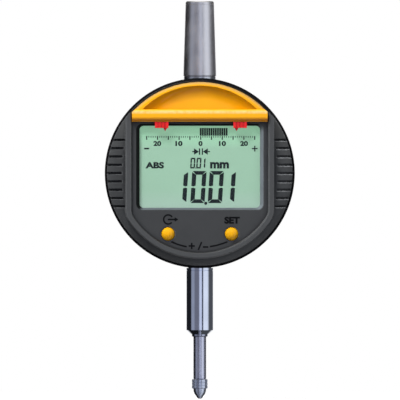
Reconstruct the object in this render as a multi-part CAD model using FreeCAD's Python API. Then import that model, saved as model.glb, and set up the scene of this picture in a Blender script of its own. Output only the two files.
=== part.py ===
"""Digital indicator: a plunger gauge with a round display head that turns on its case.

Millimetres. The origin is on the spindle axis, at the middle of the stem that a stand clamps.
+X is to the right of the display, +Y to the back and +Z up, the way the spindle is pushed in.
Heights named in the face's own terms are measured from the middle of the round body.
"""

import math
import os

import FreeCAD
import Part

V = FreeCAD.Vector
ALONG_X = V(1, 0, 0)
ALONG_Y = V(0, 1, 0)
ALONG_Z = V(0, 0, 1)

# Fits
running_gap = 0.03
seat_gap = 0.02
slide_gap = 0.1
turning_gap = 0.3
through = 60.0
over_cut = 1.0

# Stem and spindle
stem_diameter = 8.0
clamp_length = 18.45
stem_collar = 0.6
stem_groove_width = 0.25
stem_groove_depth = 0.12
stem_neck_radius = 3.5
stem_nose_length = 1.25
stem_nose_radius = 2.6
stem_lip = 2.0
stem_bore_radius = 2.8
stem_inside = 8.7
stem_boss_wall = 2.5
boss_gap = 2.2
bush_nose_radius = 2.35
bush_nose_out = 0.75
lower_bush_length = 8.0
spindle_radius = 1.9
travel = 12.5
spindle_end_gap = 0.1

# Round body
body_radius = 28.2
case_front_depth = 7.5
case_back_depth = 8.0
case_wall = 2.2
bulkhead = 1.6
case_edge = 0.5
cover_thickness = 2.3
cover_edge = 1.4
cover_screw_inset = 4.6
cover_screw_count = 4
cover_post_radius = 2.6

# Turning joint between the case and the display head
pivot_radius = 9.0
pivot_bore = 7.0
base_thickness = 1.6
friction_spring_height = 0.5
friction_spring_radius = 10.9
retaining_ring_height = 0.8
retaining_ring_radius = 10.8
retaining_ring_opening = 4.0
retaining_groove_depth = 0.4
pivot_lip = 0.5
seal_inset = 4.9
seal_section = 1.0

# Display head
head_step = 0.7
head_wall = 2.0
crown_width = 6.0
crown_rise = 2.5
crown_wall = 1.6
crown_step = 0.3
panel_inset = 0.5
head_post_radius = 2.0
board_margin = 2.5
board_top_over = 0.5
board_thickness = 0.8
strip_height = 0.8
lcd_thickness = 1.2
lens_thickness = 0.8
air_gap = 0.1
bezel_depth = 0.6
panel_wall = lens_thickness + bezel_depth

# Raised rib round the face
rib_foot_inset = 3.05
rib_side_share = 0.865
rib_width = 1.95
rib_height = 1.0
rib_corner = 6.0
rib_fillet = 0.5
pocket_inset = 0.2

# Finger grips
grip_count = 9
grip_pitch = 2.46
grip_width = 0.7
grip_depth = 0.8
grip_length = 4.4
grip_sweep_radius = 49.5
grip_back_land = 1.2

# Window and liquid crystal cell
window_side_share = 0.7293
window_top_land = 1.2
window_foot_share = 0.4213
window_corner = 1.2
bezel_side = 1.0
bezel_end = 0.6
lens_margin = 0.85
lens_margin_top = 0.6
lens_margin_bottom = 0.7
lcd_margin = 0.8
lcd_margin_bottom = 1.1
frame_wall = 0.75
frame_ledge = 1.4
chip_half = 4.0
strip_width = 1.2

# Top cap with its thumb scoop and bar
cap_inset = 0.5
cap_side_gap = 0.1
cap_height = 11.8
cap_skirt = 1.2
cap_skirt_depth = 3.1
cap_rim_rise = 1.4
cap_rim_round = 1.1
cap_floor_wall = 1.05
shelf_depth = 1.6
bar_width = 3.7
bar_foot = 0.9
bar_rise = 2.3
bar_top_round = 0.85
bar_bottom_round = 1.5
scoop_inset = 1.1
scoop_flatter = 2.9
scoop_cove = 4.2
scoop_overlap = 0.4
cap_tab_x = 7.0
cap_tab_inset = 6.25
cap_tab_width = 3.0
cap_tab_thickness = 1.0
cap_tab_nose = 0.45
cap_tab_reach = 0.9

# Tolerance markers in the cap's channel
channel_end = 1.55
channel_neck = 0.95
channel_head = 1.5
channel_lip = 1.3
marker_width = 4.0
marker_tip_inset = 0.95
marker_drop = 1.85
marker_point = 0.95
marker_tip_half = 0.65
marker_pad_rise = 0.75
pointer_overlap = 0.1
marker_rib_count = 3
marker_rib_width = 0.45
marker_rib_depth = 0.45
scale_unit = 0.64
left_marker_at = -16.0
right_marker_at = 17.0

# Buttons
button_side_share = 0.3845
button_foot_inset = 6.42
button_radius = 1.9
button_rise = 1.3
button_dome = 1.1
button_flange = 0.6
button_flange_thickness = 0.45
button_travel = 0.4
button_gap = 0.2
switch_half = 2.0
switch_height = 0.9
switch_nub = 0.2
switch_nub_radius = 1.0

# Contact point
contact_head_radius = 2.33
contact_head_length = 2.8
contact_rows = 3
contact_row_groove = 0.12
contact_flutes = 22
contact_flute_depth = 0.16
contact_cone_radius = 1.94
contact_cone_length = 2.55
contact_cone_end = 0.8
contact_shoulder = 0.75
contact_ball_radius = 1.0
contact_shank_radius = 1.22
contact_shank_length = 5.0

# Cap over the spindle's upper end
spindle_cap_length = 22.4
spindle_cap_bottom_radius = 4.88
spindle_cap_top_radius = 4.2
spindle_cap_bore = 3.22
spindle_cap_wall_top = 1.0
spindle_cap_chamfer = 0.3
spindle_cap_line = 1.0
base_ring_height = 0.8
base_ring_radius = 4.75
base_ring_seat = 0.3
ring_flat_margin = 0.4
nipple_length = 5.0
upper_bush_radius = 3.15
upper_boss_half = 5.5
upper_boss_length = 7.7
spindle_above = 8.2

# Measuring system
carrier_half_width = 3.0
carrier_clamp_half = 3.5
carrier_clamp_length = 10.0
carrier_front = 3.4
carrier_back = 2.8
carrier_plate = 1.3
carrier_split = 0.5
spring_arm_half = 1.5
spring_arm_gap = 0.4
carrier_end_gap = 2.4
strip_half_width = 2.5
strip_inset = 1.0
strip_thickness = 0.8
reading_gap = 0.2
reader_half = 3.5
reader_half_height = 4.0
reader_thickness = 0.5
sensor_board_thickness = 1.0
sensor_board_left = 4.3
sensor_board_right = 13.0
sensor_board_half = 10.0
buffer_height = 1.0
buffer_radius = 3.4
guide_pin_radius = 0.75
guide_pin_reach = 7.2
guide_pin_up = 5.0
rail_inner = 4.8
rail_outer = 10.5
rail_back = 1.9
rail_slot_depth = 2.8
rail_length = 18.5
rail_up = 2.0
spring_x = 6.8
spring_radius = 1.8
spring_wire = 0.4
spring_turns = 8
spring_pin_up = 16.0
spring_pin_radius = 0.7
spring_pin_gap = 0.1
spring_post_up = 1.4

# Ribbon cable and the sockets it joins, in the hollow pivot
socket_half_width = 2.0
socket_half_height = 1.2
socket_out = 0.8
display_socket_half_width = 2.5
display_socket_low = 3.5
display_socket_height = 2.5
display_socket_depth = 1.0
ribbon_inner = 3.2
ribbon_pitch = 1.4
ribbon_thickness = 0.25
ribbon_end_gap = 0.3
ribbon_half_turns = 4

# Battery and its twist-lock door
cell_radius = 10.0
cell_thickness = 3.2
cell_gap = 0.25
cell_inset = 0.05
pocket_floor = 0.7
pocket_wall = 1.1
contact_strip = 0.3
leaf_half_width = 2.0
leaf_half_length = 7.0
rim_contact_thickness = 0.19
rim_contact_half_angle = 18.0
door_hub_radius = 10.5
door_flange_radius = 12.0
door_flange = 1.0
door_lip = 0.6
door_lug_radius = 11.3
door_lug = 0.65
door_lug_half_angle = 15.0
door_slot_half_angle = 18.0
door_unlock_angle = 45.0
door_lug_count = 3
coin_slot_half = 6.5
coin_slot_width = 1.6
coin_slot_depth = 0.7

# Small screws
screw_shank = 0.95
screw_head = 1.9
screw_head_height = 1.0
screw_drive_width = 0.5
screw_drive_depth = 0.45
screw_bite = 4.0
small_head = 1.3
small_head_height = 0.8
head_screw_share = 0.46
head_screw_inset = 7.55
head_screw_bite = 0.4
board_screw_end = 0.2
base_hole_depth = 0.6
board_screw_share = 0.652
board_screw_inset = 1.4
foot_screw_inset = 2.0
rail_screw_inset = 2.5
rail_edge = 1.4
sensor_screw_edge = 1.9

# Round outlines of the face, and its heights above the middle of the body
head_radius = body_radius - head_step
rib_middle_radius = head_radius - rib_foot_inset
cap_radius = head_radius - cap_inset
cap_bottom = cap_radius - cap_height
bar_top = cap_bottom + bar_width
shelf_start = bar_top - bar_foot
scoop_top = cap_radius - scoop_inset
scoop_radius = cap_radius - scoop_flatter
cap_tab_height = cap_radius - cap_tab_inset
channel_lip_top = cap_bottom + channel_lip
marker_bottom = cap_bottom - marker_drop
marker_tip = marker_bottom - marker_point
button_z = button_foot_inset - rib_middle_radius
window_top = cap_bottom - window_top_land
window_bottom = -window_foot_share * rib_middle_radius
screw_circle = body_radius - cover_screw_inset
seal_radius = head_radius - seal_inset

# Levels along Y, from the spindle axis to the front and to the back
case_front = -case_front_depth
case_floor = case_front + bulkhead
case_back = case_back_depth
cover_back = case_back + cover_thickness
head_back = case_front - turning_gap
base_front = head_back - base_thickness
friction_front = base_front - friction_spring_height
ring_front = friction_front - retaining_ring_height
pivot_front = ring_front - pivot_lip
board_back = pivot_front - air_gap
board_front = board_back - board_thickness
lcd_back = board_front - strip_height
lcd_front = lcd_back - lcd_thickness
panel_back = lcd_front - air_gap
lens_front = panel_back - lens_thickness
panel_front = lens_front - bezel_depth
rib_front = panel_front - rib_height
rim_front = panel_front - cap_rim_rise
bar_front = panel_front - bar_rise
crown_front = panel_back - crown_step
crown_edge = crown_front + crown_rise
shelf_front = panel_front + shelf_depth
skirt_back = panel_front + cap_skirt_depth
scoop_floor = shelf_front - cap_floor_wall

# Levels along Z
stem_radius = stem_diameter / 2
shoulder = clamp_length / 2
middle = shoulder + body_radius
collar_bottom = shoulder - stem_collar
nose_start = -clamp_length / 2
stem_bottom = nose_start - stem_nose_length
bush_bottom = stem_bottom - bush_nose_out
spindle_bottom = bush_bottom - travel - spindle_end_gap
stem_top = middle - body_radius + stem_inside
boss_bottom = middle + body_radius - upper_boss_length
ring_seat = middle + body_radius - base_ring_seat
cap_start = ring_seat + base_ring_height
nipple_top = cap_start + nipple_length
spindle_top = nipple_top + spindle_above - nipple_length
buffer_top = stem_top + buffer_height
carrier_bottom = buffer_top + slide_gap
carrier_top = boss_bottom - travel - carrier_end_gap
strip_bottom = carrier_bottom + strip_inset
strip_length = carrier_top - carrier_bottom - 2 * strip_inset
rail_bottom = carrier_bottom + rail_up
guide_pin_height = carrier_bottom + guide_pin_up
spring_pin_height = carrier_bottom + spring_pin_up
spring_post_height = carrier_bottom + spring_post_up

# Sizes that follow
board_radius = head_radius - head_wall - board_margin
shelf_back = crown_front + crown_wall
rib_middle_x = rib_side_share * rib_middle_radius
button_x = button_side_share * rib_middle_radius
outer_rib_x = rib_middle_x + rib_width / 2
inner_rib_x = rib_middle_x - rib_width / 2
cap_half_width = inner_rib_x - cap_side_gap
window_half_width = window_side_share * rib_middle_radius
channel_half_length = cap_half_width - channel_end
grip_inner_x = head_radius - grip_length
outer_rib_radius = rib_middle_radius + rib_width / 2
inner_rib_radius = rib_middle_radius - rib_width / 2
cell_bottom = case_back - cell_thickness - cell_inset
pocket_bottom = cell_bottom - pocket_floor
post_offset = screw_circle * math.sqrt(0.5)


def block(x0, x1, y0, y1, z0, z1):
    """A box between two corners."""
    return Part.makeBox(x1 - x0, y1 - y0, z1 - z0, V(x0, y0, z0))


def disc(radius, y0, y1, x=0.0, z=0.0):
    """A round bar along Y, at x and z measured from the middle of the body."""
    low, high = min(y0, y1), max(y0, y1)
    return Part.makeCylinder(radius, high - low, V(x, low, middle + z), ALONG_Y)


def washer(outer, inner, y0, y1, x=0.0, z=0.0):
    """A flat ring along Y."""
    return disc(outer, y0, y1, x, z).cut(disc(inner, y0, y1, x, z))


def bar(radius, z0, z1, x=0.0, y=0.0):
    """A round bar along Z, in absolute heights."""
    return Part.makeCylinder(radius, z1 - z0, V(x, y, z0), ALONG_Z)


def tube(outer, inner, z0, z1):
    """A round tube on the spindle axis."""
    return bar(outer, z0, z1).cut(bar(inner, z0, z1))


def outline(points, place):
    """A closed face of lines and arcs.

    A point is (a, b) for a line to it, or ((a, b), (c, d)) for an arc to the second by the first.
    """
    first = points[0]
    edges = []
    here = first
    for step in list(points[1:]) + [first]:
        if isinstance(step[0], tuple):
            by, to = step
            edges.append(Part.Arc(place(*here), place(*by), place(*to)).toShape())
            here = to
        else:
            edges.append(Part.LineSegment(place(*here), place(*step)).toShape())
            here = step
    return Part.Face(Part.Wire(edges))


def turned_on_body(points):
    """A solid turned about the body's Y axis, from (radius, y) points."""
    face = outline(points, lambda r, y: V(r, y, middle))
    return face.revolve(V(0, 0, middle), ALONG_Y, 360)


def turned_on_spindle(points):
    """A solid turned about the spindle axis, from (radius, z) points."""
    face = outline(points, lambda r, z: V(r, 0, z))
    return face.revolve(V(0, 0, 0), ALONG_Z, 360)


def curve_between(r0, y0, r1, y1):
    """The middle point of the arc that leaves (r0, y0) level and ends at (r1, y1)."""
    run, rise = r1 - r0, y1 - y0
    radius = (run * run + rise * rise) / (2 * rise)
    half = math.asin(abs(run) / abs(radius)) / 2
    return (
        r0 + math.copysign(abs(radius) * math.sin(half), run),
        y0 + math.copysign(abs(radius) * (1 - math.cos(half)), rise),
    )


def rounded_rectangle(half_width, bottom, top, corner, y):
    """The wire of a rounded rectangle in a plane across Y."""
    tip = corner * (1 - math.sqrt(0.5))
    a, b, c = half_width, half_width - corner, half_width - tip
    points = [
        (-b, bottom),
        (b, bottom),
        ((c, bottom + tip), (a, bottom + corner)),
        (a, top - corner),
        ((c, top - tip), (b, top)),
        (-b, top),
        ((-c, top - tip), (-a, top - corner)),
        (-a, bottom + corner),
    ]
    place = lambda x, z: V(x, y, middle + z)
    edges = []
    here = points[0]
    for step in points[1:]:
        if isinstance(step[0], tuple):
            edges.append(Part.Arc(place(*here), place(*step[0]), place(*step[1])).toShape())
            here = step[1]
        else:
            edges.append(Part.LineSegment(place(*here), place(*step)).toShape())
            here = step
    closing = Part.Arc(place(*here), place(-c, bottom + tip), place(*points[0]))
    return Part.Wire(edges + [closing.toShape()])


def plate(half_width, bottom, top, corner, y0, y1):
    """A rounded rectangular plate between two levels."""
    low, high = min(y0, y1), max(y0, y1)
    face = Part.Face(rounded_rectangle(half_width, bottom, top, corner, low))
    return face.extrude(V(0, high - low, 0))


def shield(half_width, radius, corner, top, y0, y1):
    """The face's own outline: straight sides, and a foot that follows the round body."""
    reach = radius - corner
    corner_x = half_width - corner
    corner_z = -math.sqrt(reach * reach - corner_x * corner_x)
    foot_x, foot_z = corner_x * radius / reach, corner_z * radius / reach
    half_angle = math.atan2(-corner_z, corner_x) / 2
    bend_x = corner_x + corner * math.cos(half_angle)
    bend_z = corner_z - corner * math.sin(half_angle)
    points = [
        (-half_width, top),
        (-half_width, corner_z),
        ((-bend_x, bend_z), (-foot_x, foot_z)),
        ((0.0, -radius), (foot_x, foot_z)),
        ((bend_x, bend_z), (half_width, corner_z)),
        (half_width, top),
    ]
    low, high = min(y0, y1), max(y0, y1)
    face = outline(points, lambda x, z: V(x, low, middle + z))
    return face.extrude(V(0, high - low, 0))


def sector(radius, y0, y1, angle, half_angle):
    """A wedge of a disc about the body axis, centred on an angle from +X."""
    low, high = min(y0, y1), max(y0, y1)
    start = math.radians(angle - half_angle)
    centre = math.radians(angle)
    end = math.radians(angle + half_angle)
    rim = [(radius * math.cos(t), radius * math.sin(t)) for t in (start, centre, end)]
    face = outline([(0.0, 0.0), rim[0], (rim[1], rim[2])], lambda x, z: V(x, low, middle + z))
    return face.extrude(V(0, high - low, 0))


def group(shapes):
    """Several separate solids kept together in one node."""
    return Part.makeCompound(shapes)


def cover_screw_places():
    """The four corners where the rear cover is screwed down."""
    return [(sx * post_offset, sz * post_offset) for sx in (-1, 1) for sz in (-1, 1)]


def rear_case():
    """Cast cup that carries everything: stem boss, bush boss, screw posts and the hollow pivot."""
    body = turned_on_body(
        [
            (0.0, case_front),
            (body_radius - case_edge, case_front),
            (body_radius, case_front + case_edge),
            (body_radius, case_back),
            (0.0, case_back),
        ]
    )
    inner_radius = body_radius - case_wall
    body = body.cut(disc(inner_radius, case_floor, case_back))
    posts = [disc(cover_post_radius, case_floor, case_back, x, z) for x, z in cover_screw_places()]
    inside = disc(inner_radius + case_wall / 2, case_floor, case_back)
    stem_boss = block(
        -stem_neck_radius - stem_boss_wall,
        stem_neck_radius + stem_boss_wall,
        case_floor,
        case_back - boss_gap,
        middle - body_radius,
        stem_top,
    )
    bush_boss = block(
        -upper_boss_half,
        upper_boss_half,
        case_floor,
        case_back - boss_gap,
        boss_bottom,
        middle + body_radius,
    )
    bosses = stem_boss.fuse(bush_boss).fuse(posts).common(inside)
    spring_post = Part.makeCylinder(
        spring_pin_radius, spring_post_reach(), V(spring_x, case_floor, spring_post_height), ALONG_Y
    )
    pivot = disc(pivot_radius, pivot_front, case_front)
    body = body.fuse([bosses, spring_post, pivot])
    stem_hole = bar(stem_neck_radius + seat_gap, middle - through, stem_top + slide_gap)
    bush_hole = bar(upper_bush_radius + seat_gap, boss_bottom - 1.0, middle + through)
    ring_flat = bar(base_ring_radius + ring_flat_margin, ring_seat, middle + through)
    screw_holes = [
        disc(screw_shank, case_back - screw_bite - 1.0, case_back, x, z)
        for x, z in cover_screw_places()
    ]
    groove_inner = pivot_radius - retaining_groove_depth
    ring_groove = washer(pivot_radius + 1.0, groove_inner, ring_front, friction_front)
    seal_groove = washer(
        seal_radius + seal_section / 2,
        seal_radius - seal_section / 2,
        case_front,
        case_front + seal_section - turning_gap,
    )
    bore = disc(pivot_bore, pivot_front, case_floor)
    cuts = [stem_hole, bush_hole, ring_flat, ring_groove, seal_groove, bore]
    return body.cut(cuts + screw_holes)


def spring_post_reach():
    """How far the spring's fixed post stands up from the case floor."""
    return -case_floor + spring_wire


def rear_cover():
    """Flat back plate with the battery pocket and the bayonet seat for its door."""
    plate_body = turned_on_body(
        [
            (0.0, case_back),
            (body_radius, case_back),
            (body_radius, cover_back - cover_edge),
            (
                (
                    body_radius - cover_edge * (1 - math.sqrt(0.5)),
                    cover_back - cover_edge * (1 - math.sqrt(0.5)),
                ),
                (body_radius - cover_edge, cover_back),
            ),
            (0.0, cover_back),
        ]
    )
    cup = disc(door_lug_radius + pocket_wall, pocket_bottom, case_back)
    body = plate_body.fuse(cup)
    flange_seat = cover_back - door_flange
    lip_back = flange_seat - door_lip
    lug_floor = lip_back - door_lug - slide_gap
    pocket = disc(cell_radius + cell_gap, cell_bottom, lug_floor)
    lug_room = disc(door_lug_radius + slide_gap, lug_floor, lip_back)
    lip_hole = disc(door_hub_radius + slide_gap, lip_back, flange_seat)
    flange_room = disc(door_flange_radius + slide_gap, flange_seat, cover_back)
    entries = [
        sector(
            door_lug_radius + slide_gap,
            lip_back,
            flange_seat,
            door_lug_angle(i) - door_unlock_angle,
            door_slot_half_angle,
        )
        for i in range(door_lug_count)
    ]
    leaf_room = block(
        -leaf_half_width - slide_gap,
        leaf_half_width + slide_gap,
        cell_bottom - contact_strip,
        cell_bottom,
        middle - leaf_half_length - slide_gap,
        middle + leaf_half_length + slide_gap,
    )
    gasket_room = washer(*gasket_radii(), case_back, case_back + gasket_height())
    body = body.cut([pocket, lug_room, lip_hole, flange_room, leaf_room, gasket_room] + entries)
    for x, z in cover_screw_places():
        body = body.cut(disc(screw_shank + slide_gap, case_back, cover_back, x, z))
        body = body.cut(countersink(x, z, slide_gap / 2))
    return body


def door_lug_angle(index):
    """Where each bayonet lug of the closed battery door points."""
    return 90.0 + index * 360.0 / door_lug_count


def countersink(x, z, extra):
    """The cone of a flush screw head in the rear cover."""
    return Part.makeCone(
        screw_shank + extra,
        screw_head + extra,
        screw_head_height,
        V(x, cover_back - screw_head_height, middle + z),
        ALONG_Y,
    )


def gasket_radii():
    """Outer and inner radius of the rear cover's gasket, in the middle of the case wall."""
    centre = body_radius - case_wall / 2
    return centre + 0.4, centre - 0.4


def gasket_height():
    """How deep the gasket lies in the rear cover."""
    return 0.6


def rear_cover_gasket():
    """Flat sealing ring under the rear cover."""
    return washer(*gasket_radii(), case_back, case_back + gasket_height())


def rear_cover_screws():
    """Four flush screws that hold the rear cover."""
    screws = []
    half = screw_drive_width / 2
    for x, z in cover_screw_places():
        head = countersink(x, z, 0.0)
        shank = disc(
            screw_shank - seat_gap, case_back - screw_bite, cover_back - screw_head_height, x, z
        )
        top = cover_back - screw_drive_depth
        z0 = middle + z
        arm = screw_head - 0.5
        cross = block(x - arm, x + arm, top, cover_back, z0 - half, z0 + half).fuse(
            block(x - half, x + half, top, cover_back, z0 - arm, z0 + arm)
        )
        screws.append(head.fuse(shank).cut(cross))
    return group(screws)


def clamping_stem():
    """Hardened mounting stem: shoulder, fine groove, tapered nose and stepped bore."""
    groove = stem_radius - stem_groove_depth
    return turned_on_spindle(
        [
            (bush_nose_radius + seat_gap, stem_bottom),
            (stem_nose_radius, stem_bottom),
            (stem_radius, nose_start),
            (stem_radius, collar_bottom - stem_groove_width),
            (groove, collar_bottom - stem_groove_width / 2),
            (stem_radius, collar_bottom),
            (stem_radius, shoulder),
            (stem_neck_radius, shoulder),
            (stem_neck_radius, stem_top),
            (stem_bore_radius, stem_top),
            (stem_bore_radius, stem_bottom + stem_lip),
            (bush_nose_radius + seat_gap, stem_bottom + stem_lip),
        ]
    )


def lower_bush():
    """Spindle bearing in the foot of the stem. Its nose shows below the stem."""
    bore = spindle_radius + running_gap
    top = stem_bottom + stem_lip + lower_bush_length
    edge = 0.2
    return turned_on_spindle(
        [
            (bore, bush_bottom),
            (bush_nose_radius - edge, bush_bottom),
            (bush_nose_radius, bush_bottom + edge),
            (bush_nose_radius, stem_bottom + stem_lip),
            (stem_bore_radius - seat_gap, stem_bottom + stem_lip),
            (stem_bore_radius - seat_gap, top),
            (bore, top),
        ]
    )


def upper_bush():
    """Spindle bearing in the head of the case. Its nipple carries the cap over the spindle."""
    bore = spindle_radius + running_gap
    return tube(upper_bush_radius, bore, boss_bottom, nipple_top)


def stop_buffer():
    """Soft washer on the stem's upper end that the scale carrier comes down on."""
    return tube(buffer_radius, spindle_radius + slide_gap, stem_top, buffer_top)


def cap_base_ring():
    """Bright ring between the case and the spindle cap."""
    edge = 0.15
    bore = upper_bush_radius + seat_gap
    return turned_on_spindle(
        [
            (bore, ring_seat),
            (base_ring_radius, ring_seat),
            (base_ring_radius, cap_start - edge),
            (base_ring_radius - edge, cap_start),
            (bore, cap_start),
        ]
    )


def spindle_cap():
    """Slightly tapered metal cap over the spindle's upper end."""
    top = cap_start + spindle_cap_length
    bottom_radius, top_radius = spindle_cap_bottom_radius, spindle_cap_top_radius
    edge = spindle_cap_chamfer
    line_at = top - spindle_cap_line
    line_radius = top_radius + (bottom_radius - top_radius) * spindle_cap_line / spindle_cap_length
    line = 0.08
    return turned_on_spindle(
        [
            (spindle_cap_bore, cap_start),
            (bottom_radius - edge, cap_start),
            (bottom_radius, cap_start + edge),
            (line_radius, line_at - line),
            (line_radius - line, line_at),
            (line_radius, line_at + line),
            (top_radius, top - edge),
            (top_radius - edge, top),
            (0.0, top),
            (0.0, top - spindle_cap_wall_top),
            (spindle_cap_bore, top - spindle_cap_wall_top),
        ]
    )


def spindle():
    """Measuring spindle with the tapped hole for its contact point."""
    edge = 0.2
    hole = contact_shank_radius + seat_gap
    depth = contact_shank_length + 0.5
    return turned_on_spindle(
        [
            (hole, spindle_bottom),
            (spindle_radius - edge, spindle_bottom),
            (spindle_radius, spindle_bottom + edge),
            (spindle_radius, spindle_top - edge),
            (spindle_radius - edge, spindle_top),
            (0.0, spindle_top),
            (0.0, spindle_bottom + depth),
            (hole, spindle_bottom + depth),
        ]
    )


def contact_point():
    """Screw-in contact: knurled head in rows, rounded cone and the seat of its ball."""
    head_bottom = spindle_bottom - contact_head_length
    cone_bottom = head_bottom - contact_cone_length
    shoulder = head_bottom - contact_shoulder
    edge = 0.15
    row = (contact_head_length - 2 * edge) / contact_rows
    points = [
        (0.0, spindle_bottom + contact_shank_length),
        (contact_shank_radius, spindle_bottom + contact_shank_length),
        (contact_shank_radius, spindle_bottom),
        (contact_head_radius - edge, spindle_bottom),
        (contact_head_radius, spindle_bottom - edge),
    ]
    for i in range(1, contact_rows):
        level = spindle_bottom - edge - i * row
        points += [
            (contact_head_radius, level + contact_row_groove),
            (contact_head_radius - contact_row_groove, level),
            (contact_head_radius, level - contact_row_groove),
        ]
    points += [
        (contact_head_radius, head_bottom + edge),
        (contact_head_radius - edge, head_bottom),
        (contact_cone_radius, head_bottom),
        (contact_cone_radius - 0.1, shoulder),
        (
            (
                (contact_cone_radius + contact_cone_end) / 2 + 0.1,
                (shoulder + cone_bottom) / 2 - 0.12,
            ),
            (contact_cone_end, cone_bottom),
        ),
        (0.0, cone_bottom),
    ]
    body = turned_on_spindle(points).cut(ball_at(seat_gap))
    deep = contact_head_radius - contact_flute_depth
    half = math.pi * contact_head_radius / contact_flutes * 0.45
    flute = outline(
        [(deep, 0.0), (contact_head_radius + 0.1, -half), (contact_head_radius + 0.1, half)],
        lambda x, y: V(x, y, head_bottom - 0.01),
    ).extrude(V(0, 0, contact_head_length + 0.02))
    flutes = []
    for i in range(contact_flutes):
        copy = flute.copy()
        copy.rotate(V(0, 0, 0), ALONG_Z, i * 360.0 / contact_flutes)
        flutes.append(copy)
    return body.cut(flutes)


def ball_centre():
    """Height of the contact ball's middle, just below the cone."""
    reach = math.sqrt(contact_ball_radius**2 - contact_cone_end**2)
    return spindle_bottom - contact_head_length - contact_cone_length + reach - 0.15


def ball_at(extra):
    """The contact ball, or its seat with a little room added."""
    return Part.makeSphere(contact_ball_radius + extra, V(0, 0, ball_centre()), ALONG_Z)


def contact_ball():
    """Hard ball that touches the work."""
    return ball_at(0.0)


def scale_carrier():
    """Block clamped on the spindle, with the long plate that holds the scale."""
    z0, z1 = carrier_bottom, carrier_top
    clamp = block(
        -carrier_clamp_half,
        carrier_clamp_half,
        -carrier_front,
        carrier_back,
        z0,
        z0 + carrier_clamp_length,
    )
    back_plate = block(
        -carrier_half_width,
        carrier_half_width,
        -carrier_front,
        -carrier_front + carrier_plate,
        z0,
        z1,
    )
    spring_arm = block(
        0.0,
        spring_x - spring_radius - spring_arm_gap,
        -carrier_front,
        -carrier_front + carrier_plate,
        spring_pin_height - spring_arm_half,
        spring_pin_height + spring_arm_half,
    )
    body = clamp.fuse([back_plate, spring_arm])
    clamp_top = z0 + carrier_clamp_length
    bore = bar(spindle_radius + seat_gap, z0, clamp_top)
    split = block(-carrier_split / 2, carrier_split / 2, 0.0, carrier_back, z0, clamp_top)
    pin_hole = Part.makeCylinder(
        guide_pin_radius, through - spindle_radius, V(-through, 0, guide_pin_height), ALONG_X
    )
    return body.cut([bore, split, pin_hole])


def scale_strip():
    """Glass scale on the front of its carrier."""
    return block(
        -strip_half_width,
        strip_half_width,
        -carrier_front - strip_thickness,
        -carrier_front,
        strip_bottom,
        strip_bottom + strip_length,
    )


def guide_pin():
    """Side pin that keeps the spindle from turning."""
    return Part.makeCylinder(
        guide_pin_radius - seat_gap,
        guide_pin_reach - spindle_radius - slide_gap,
        V(-guide_pin_reach, 0, guide_pin_height),
        ALONG_X,
    )


def guide_rail():
    """Slotted rail in the case that the guide pin runs in."""
    top = rail_bottom + rail_length
    body = block(-rail_outer, -rail_inner, case_floor, rail_back, rail_bottom, top)
    half = guide_pin_radius + running_gap
    slot = block(-rail_inner - rail_slot_depth, -rail_inner, -half, half, rail_bottom, top)
    holes = [
        disc(screw_shank + seat_gap, case_floor, rail_back, x, z) for x, z in rail_screw_places()
    ]
    return body.cut([slot] + holes)


def rail_screw_places():
    """The two screws of the guide rail, from the middle of the body."""
    x = -rail_outer + rail_edge
    low = rail_bottom - middle + rail_screw_inset
    return [(x, low), (x, low + rail_length - 2 * rail_screw_inset)]


def guide_rail_screws():
    """Two screws that hold the guide rail to the case floor."""
    return group(
        [
            pan_head_screw(x, z, rail_back, case_floor)
            for x, z in rail_screw_places()
        ]
    )


def pan_head_screw(x, z, seat, tip):
    """A screw along Y with a narrow head. Its head stands on seat, away from tip."""
    out = math.copysign(1.0, seat - tip)
    head = disc(small_head, seat, seat + out * small_head_height, x, z)
    return head.fuse(disc(screw_shank, seat, tip, x, z))


def return_spring():
    """Extension spring that pulls the spindle out: a square-wire coil beside the spindle."""
    z0 = spring_post_height + spring_pin_radius
    z1 = spring_pin_height - spring_pin_radius
    pitch = (z1 - z0 - spring_wire) / spring_turns
    helix = Part.makeHelix(pitch, pitch * spring_turns, spring_radius)
    half = spring_wire / 2
    corners = [(-half, -half), (half, -half), (half, half), (-half, half)]
    profile = Part.makePolygon(
        [V(spring_radius + a, 0, b) for a, b in corners + corners[:1]]
    )
    coil = Part.Wire(helix).makePipeShell([profile], True, True)
    coil.translate(V(spring_x, 0, z0 + half))
    return coil


def spring_pin():
    """Bent pin on the carrier's arm that the spring hooks on."""
    start = -carrier_front + carrier_plate
    arm_end = spring_x - spring_radius - spring_arm_gap
    half = spring_pin_radius
    riser = block(
        arm_end - 2 * half, arm_end, start, half, spring_pin_height - half, spring_pin_height + half
    )
    pin = Part.makeCylinder(
        half - spring_pin_gap, 2 * spring_radius + spring_arm_gap, V(arm_end, 0, spring_pin_height), ALONG_X
    )
    return riser.fuse(pin)


def sensor_board():
    """Reading board on the case floor."""
    z0 = middle - sensor_board_half
    body = block(
        -sensor_board_left,
        sensor_board_right,
        case_floor,
        case_floor + sensor_board_thickness,
        z0,
        z0 + 2 * sensor_board_half,
    )
    holes = [
        disc(screw_shank + slide_gap, case_floor, 0.0, x, z) for x, z in sensor_screw_places()
    ]
    return body.cut(holes)


def sensor_screw_places():
    """The two screws of the reading board, from the middle of the body."""
    x = sensor_board_right - sensor_screw_edge
    z = sensor_board_half - sensor_screw_edge
    return [(x, -z), (x, z)]


def sensor_board_screws():
    """Two screws that hold the reading board."""
    seat = case_floor + sensor_board_thickness
    return group(
        [pan_head_screw(x, z, seat, case_floor) for x, z in sensor_screw_places()]
    )


def reading_head():
    """Capacitive pick-up that faces the scale across a small gap."""
    back = -carrier_front - strip_thickness - reading_gap
    z0 = middle - reader_half_height
    return block(
        -reader_half,
        reader_half,
        case_floor + sensor_board_thickness,
        back,
        z0,
        z0 + 2 * reader_half_height,
    )


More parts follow.
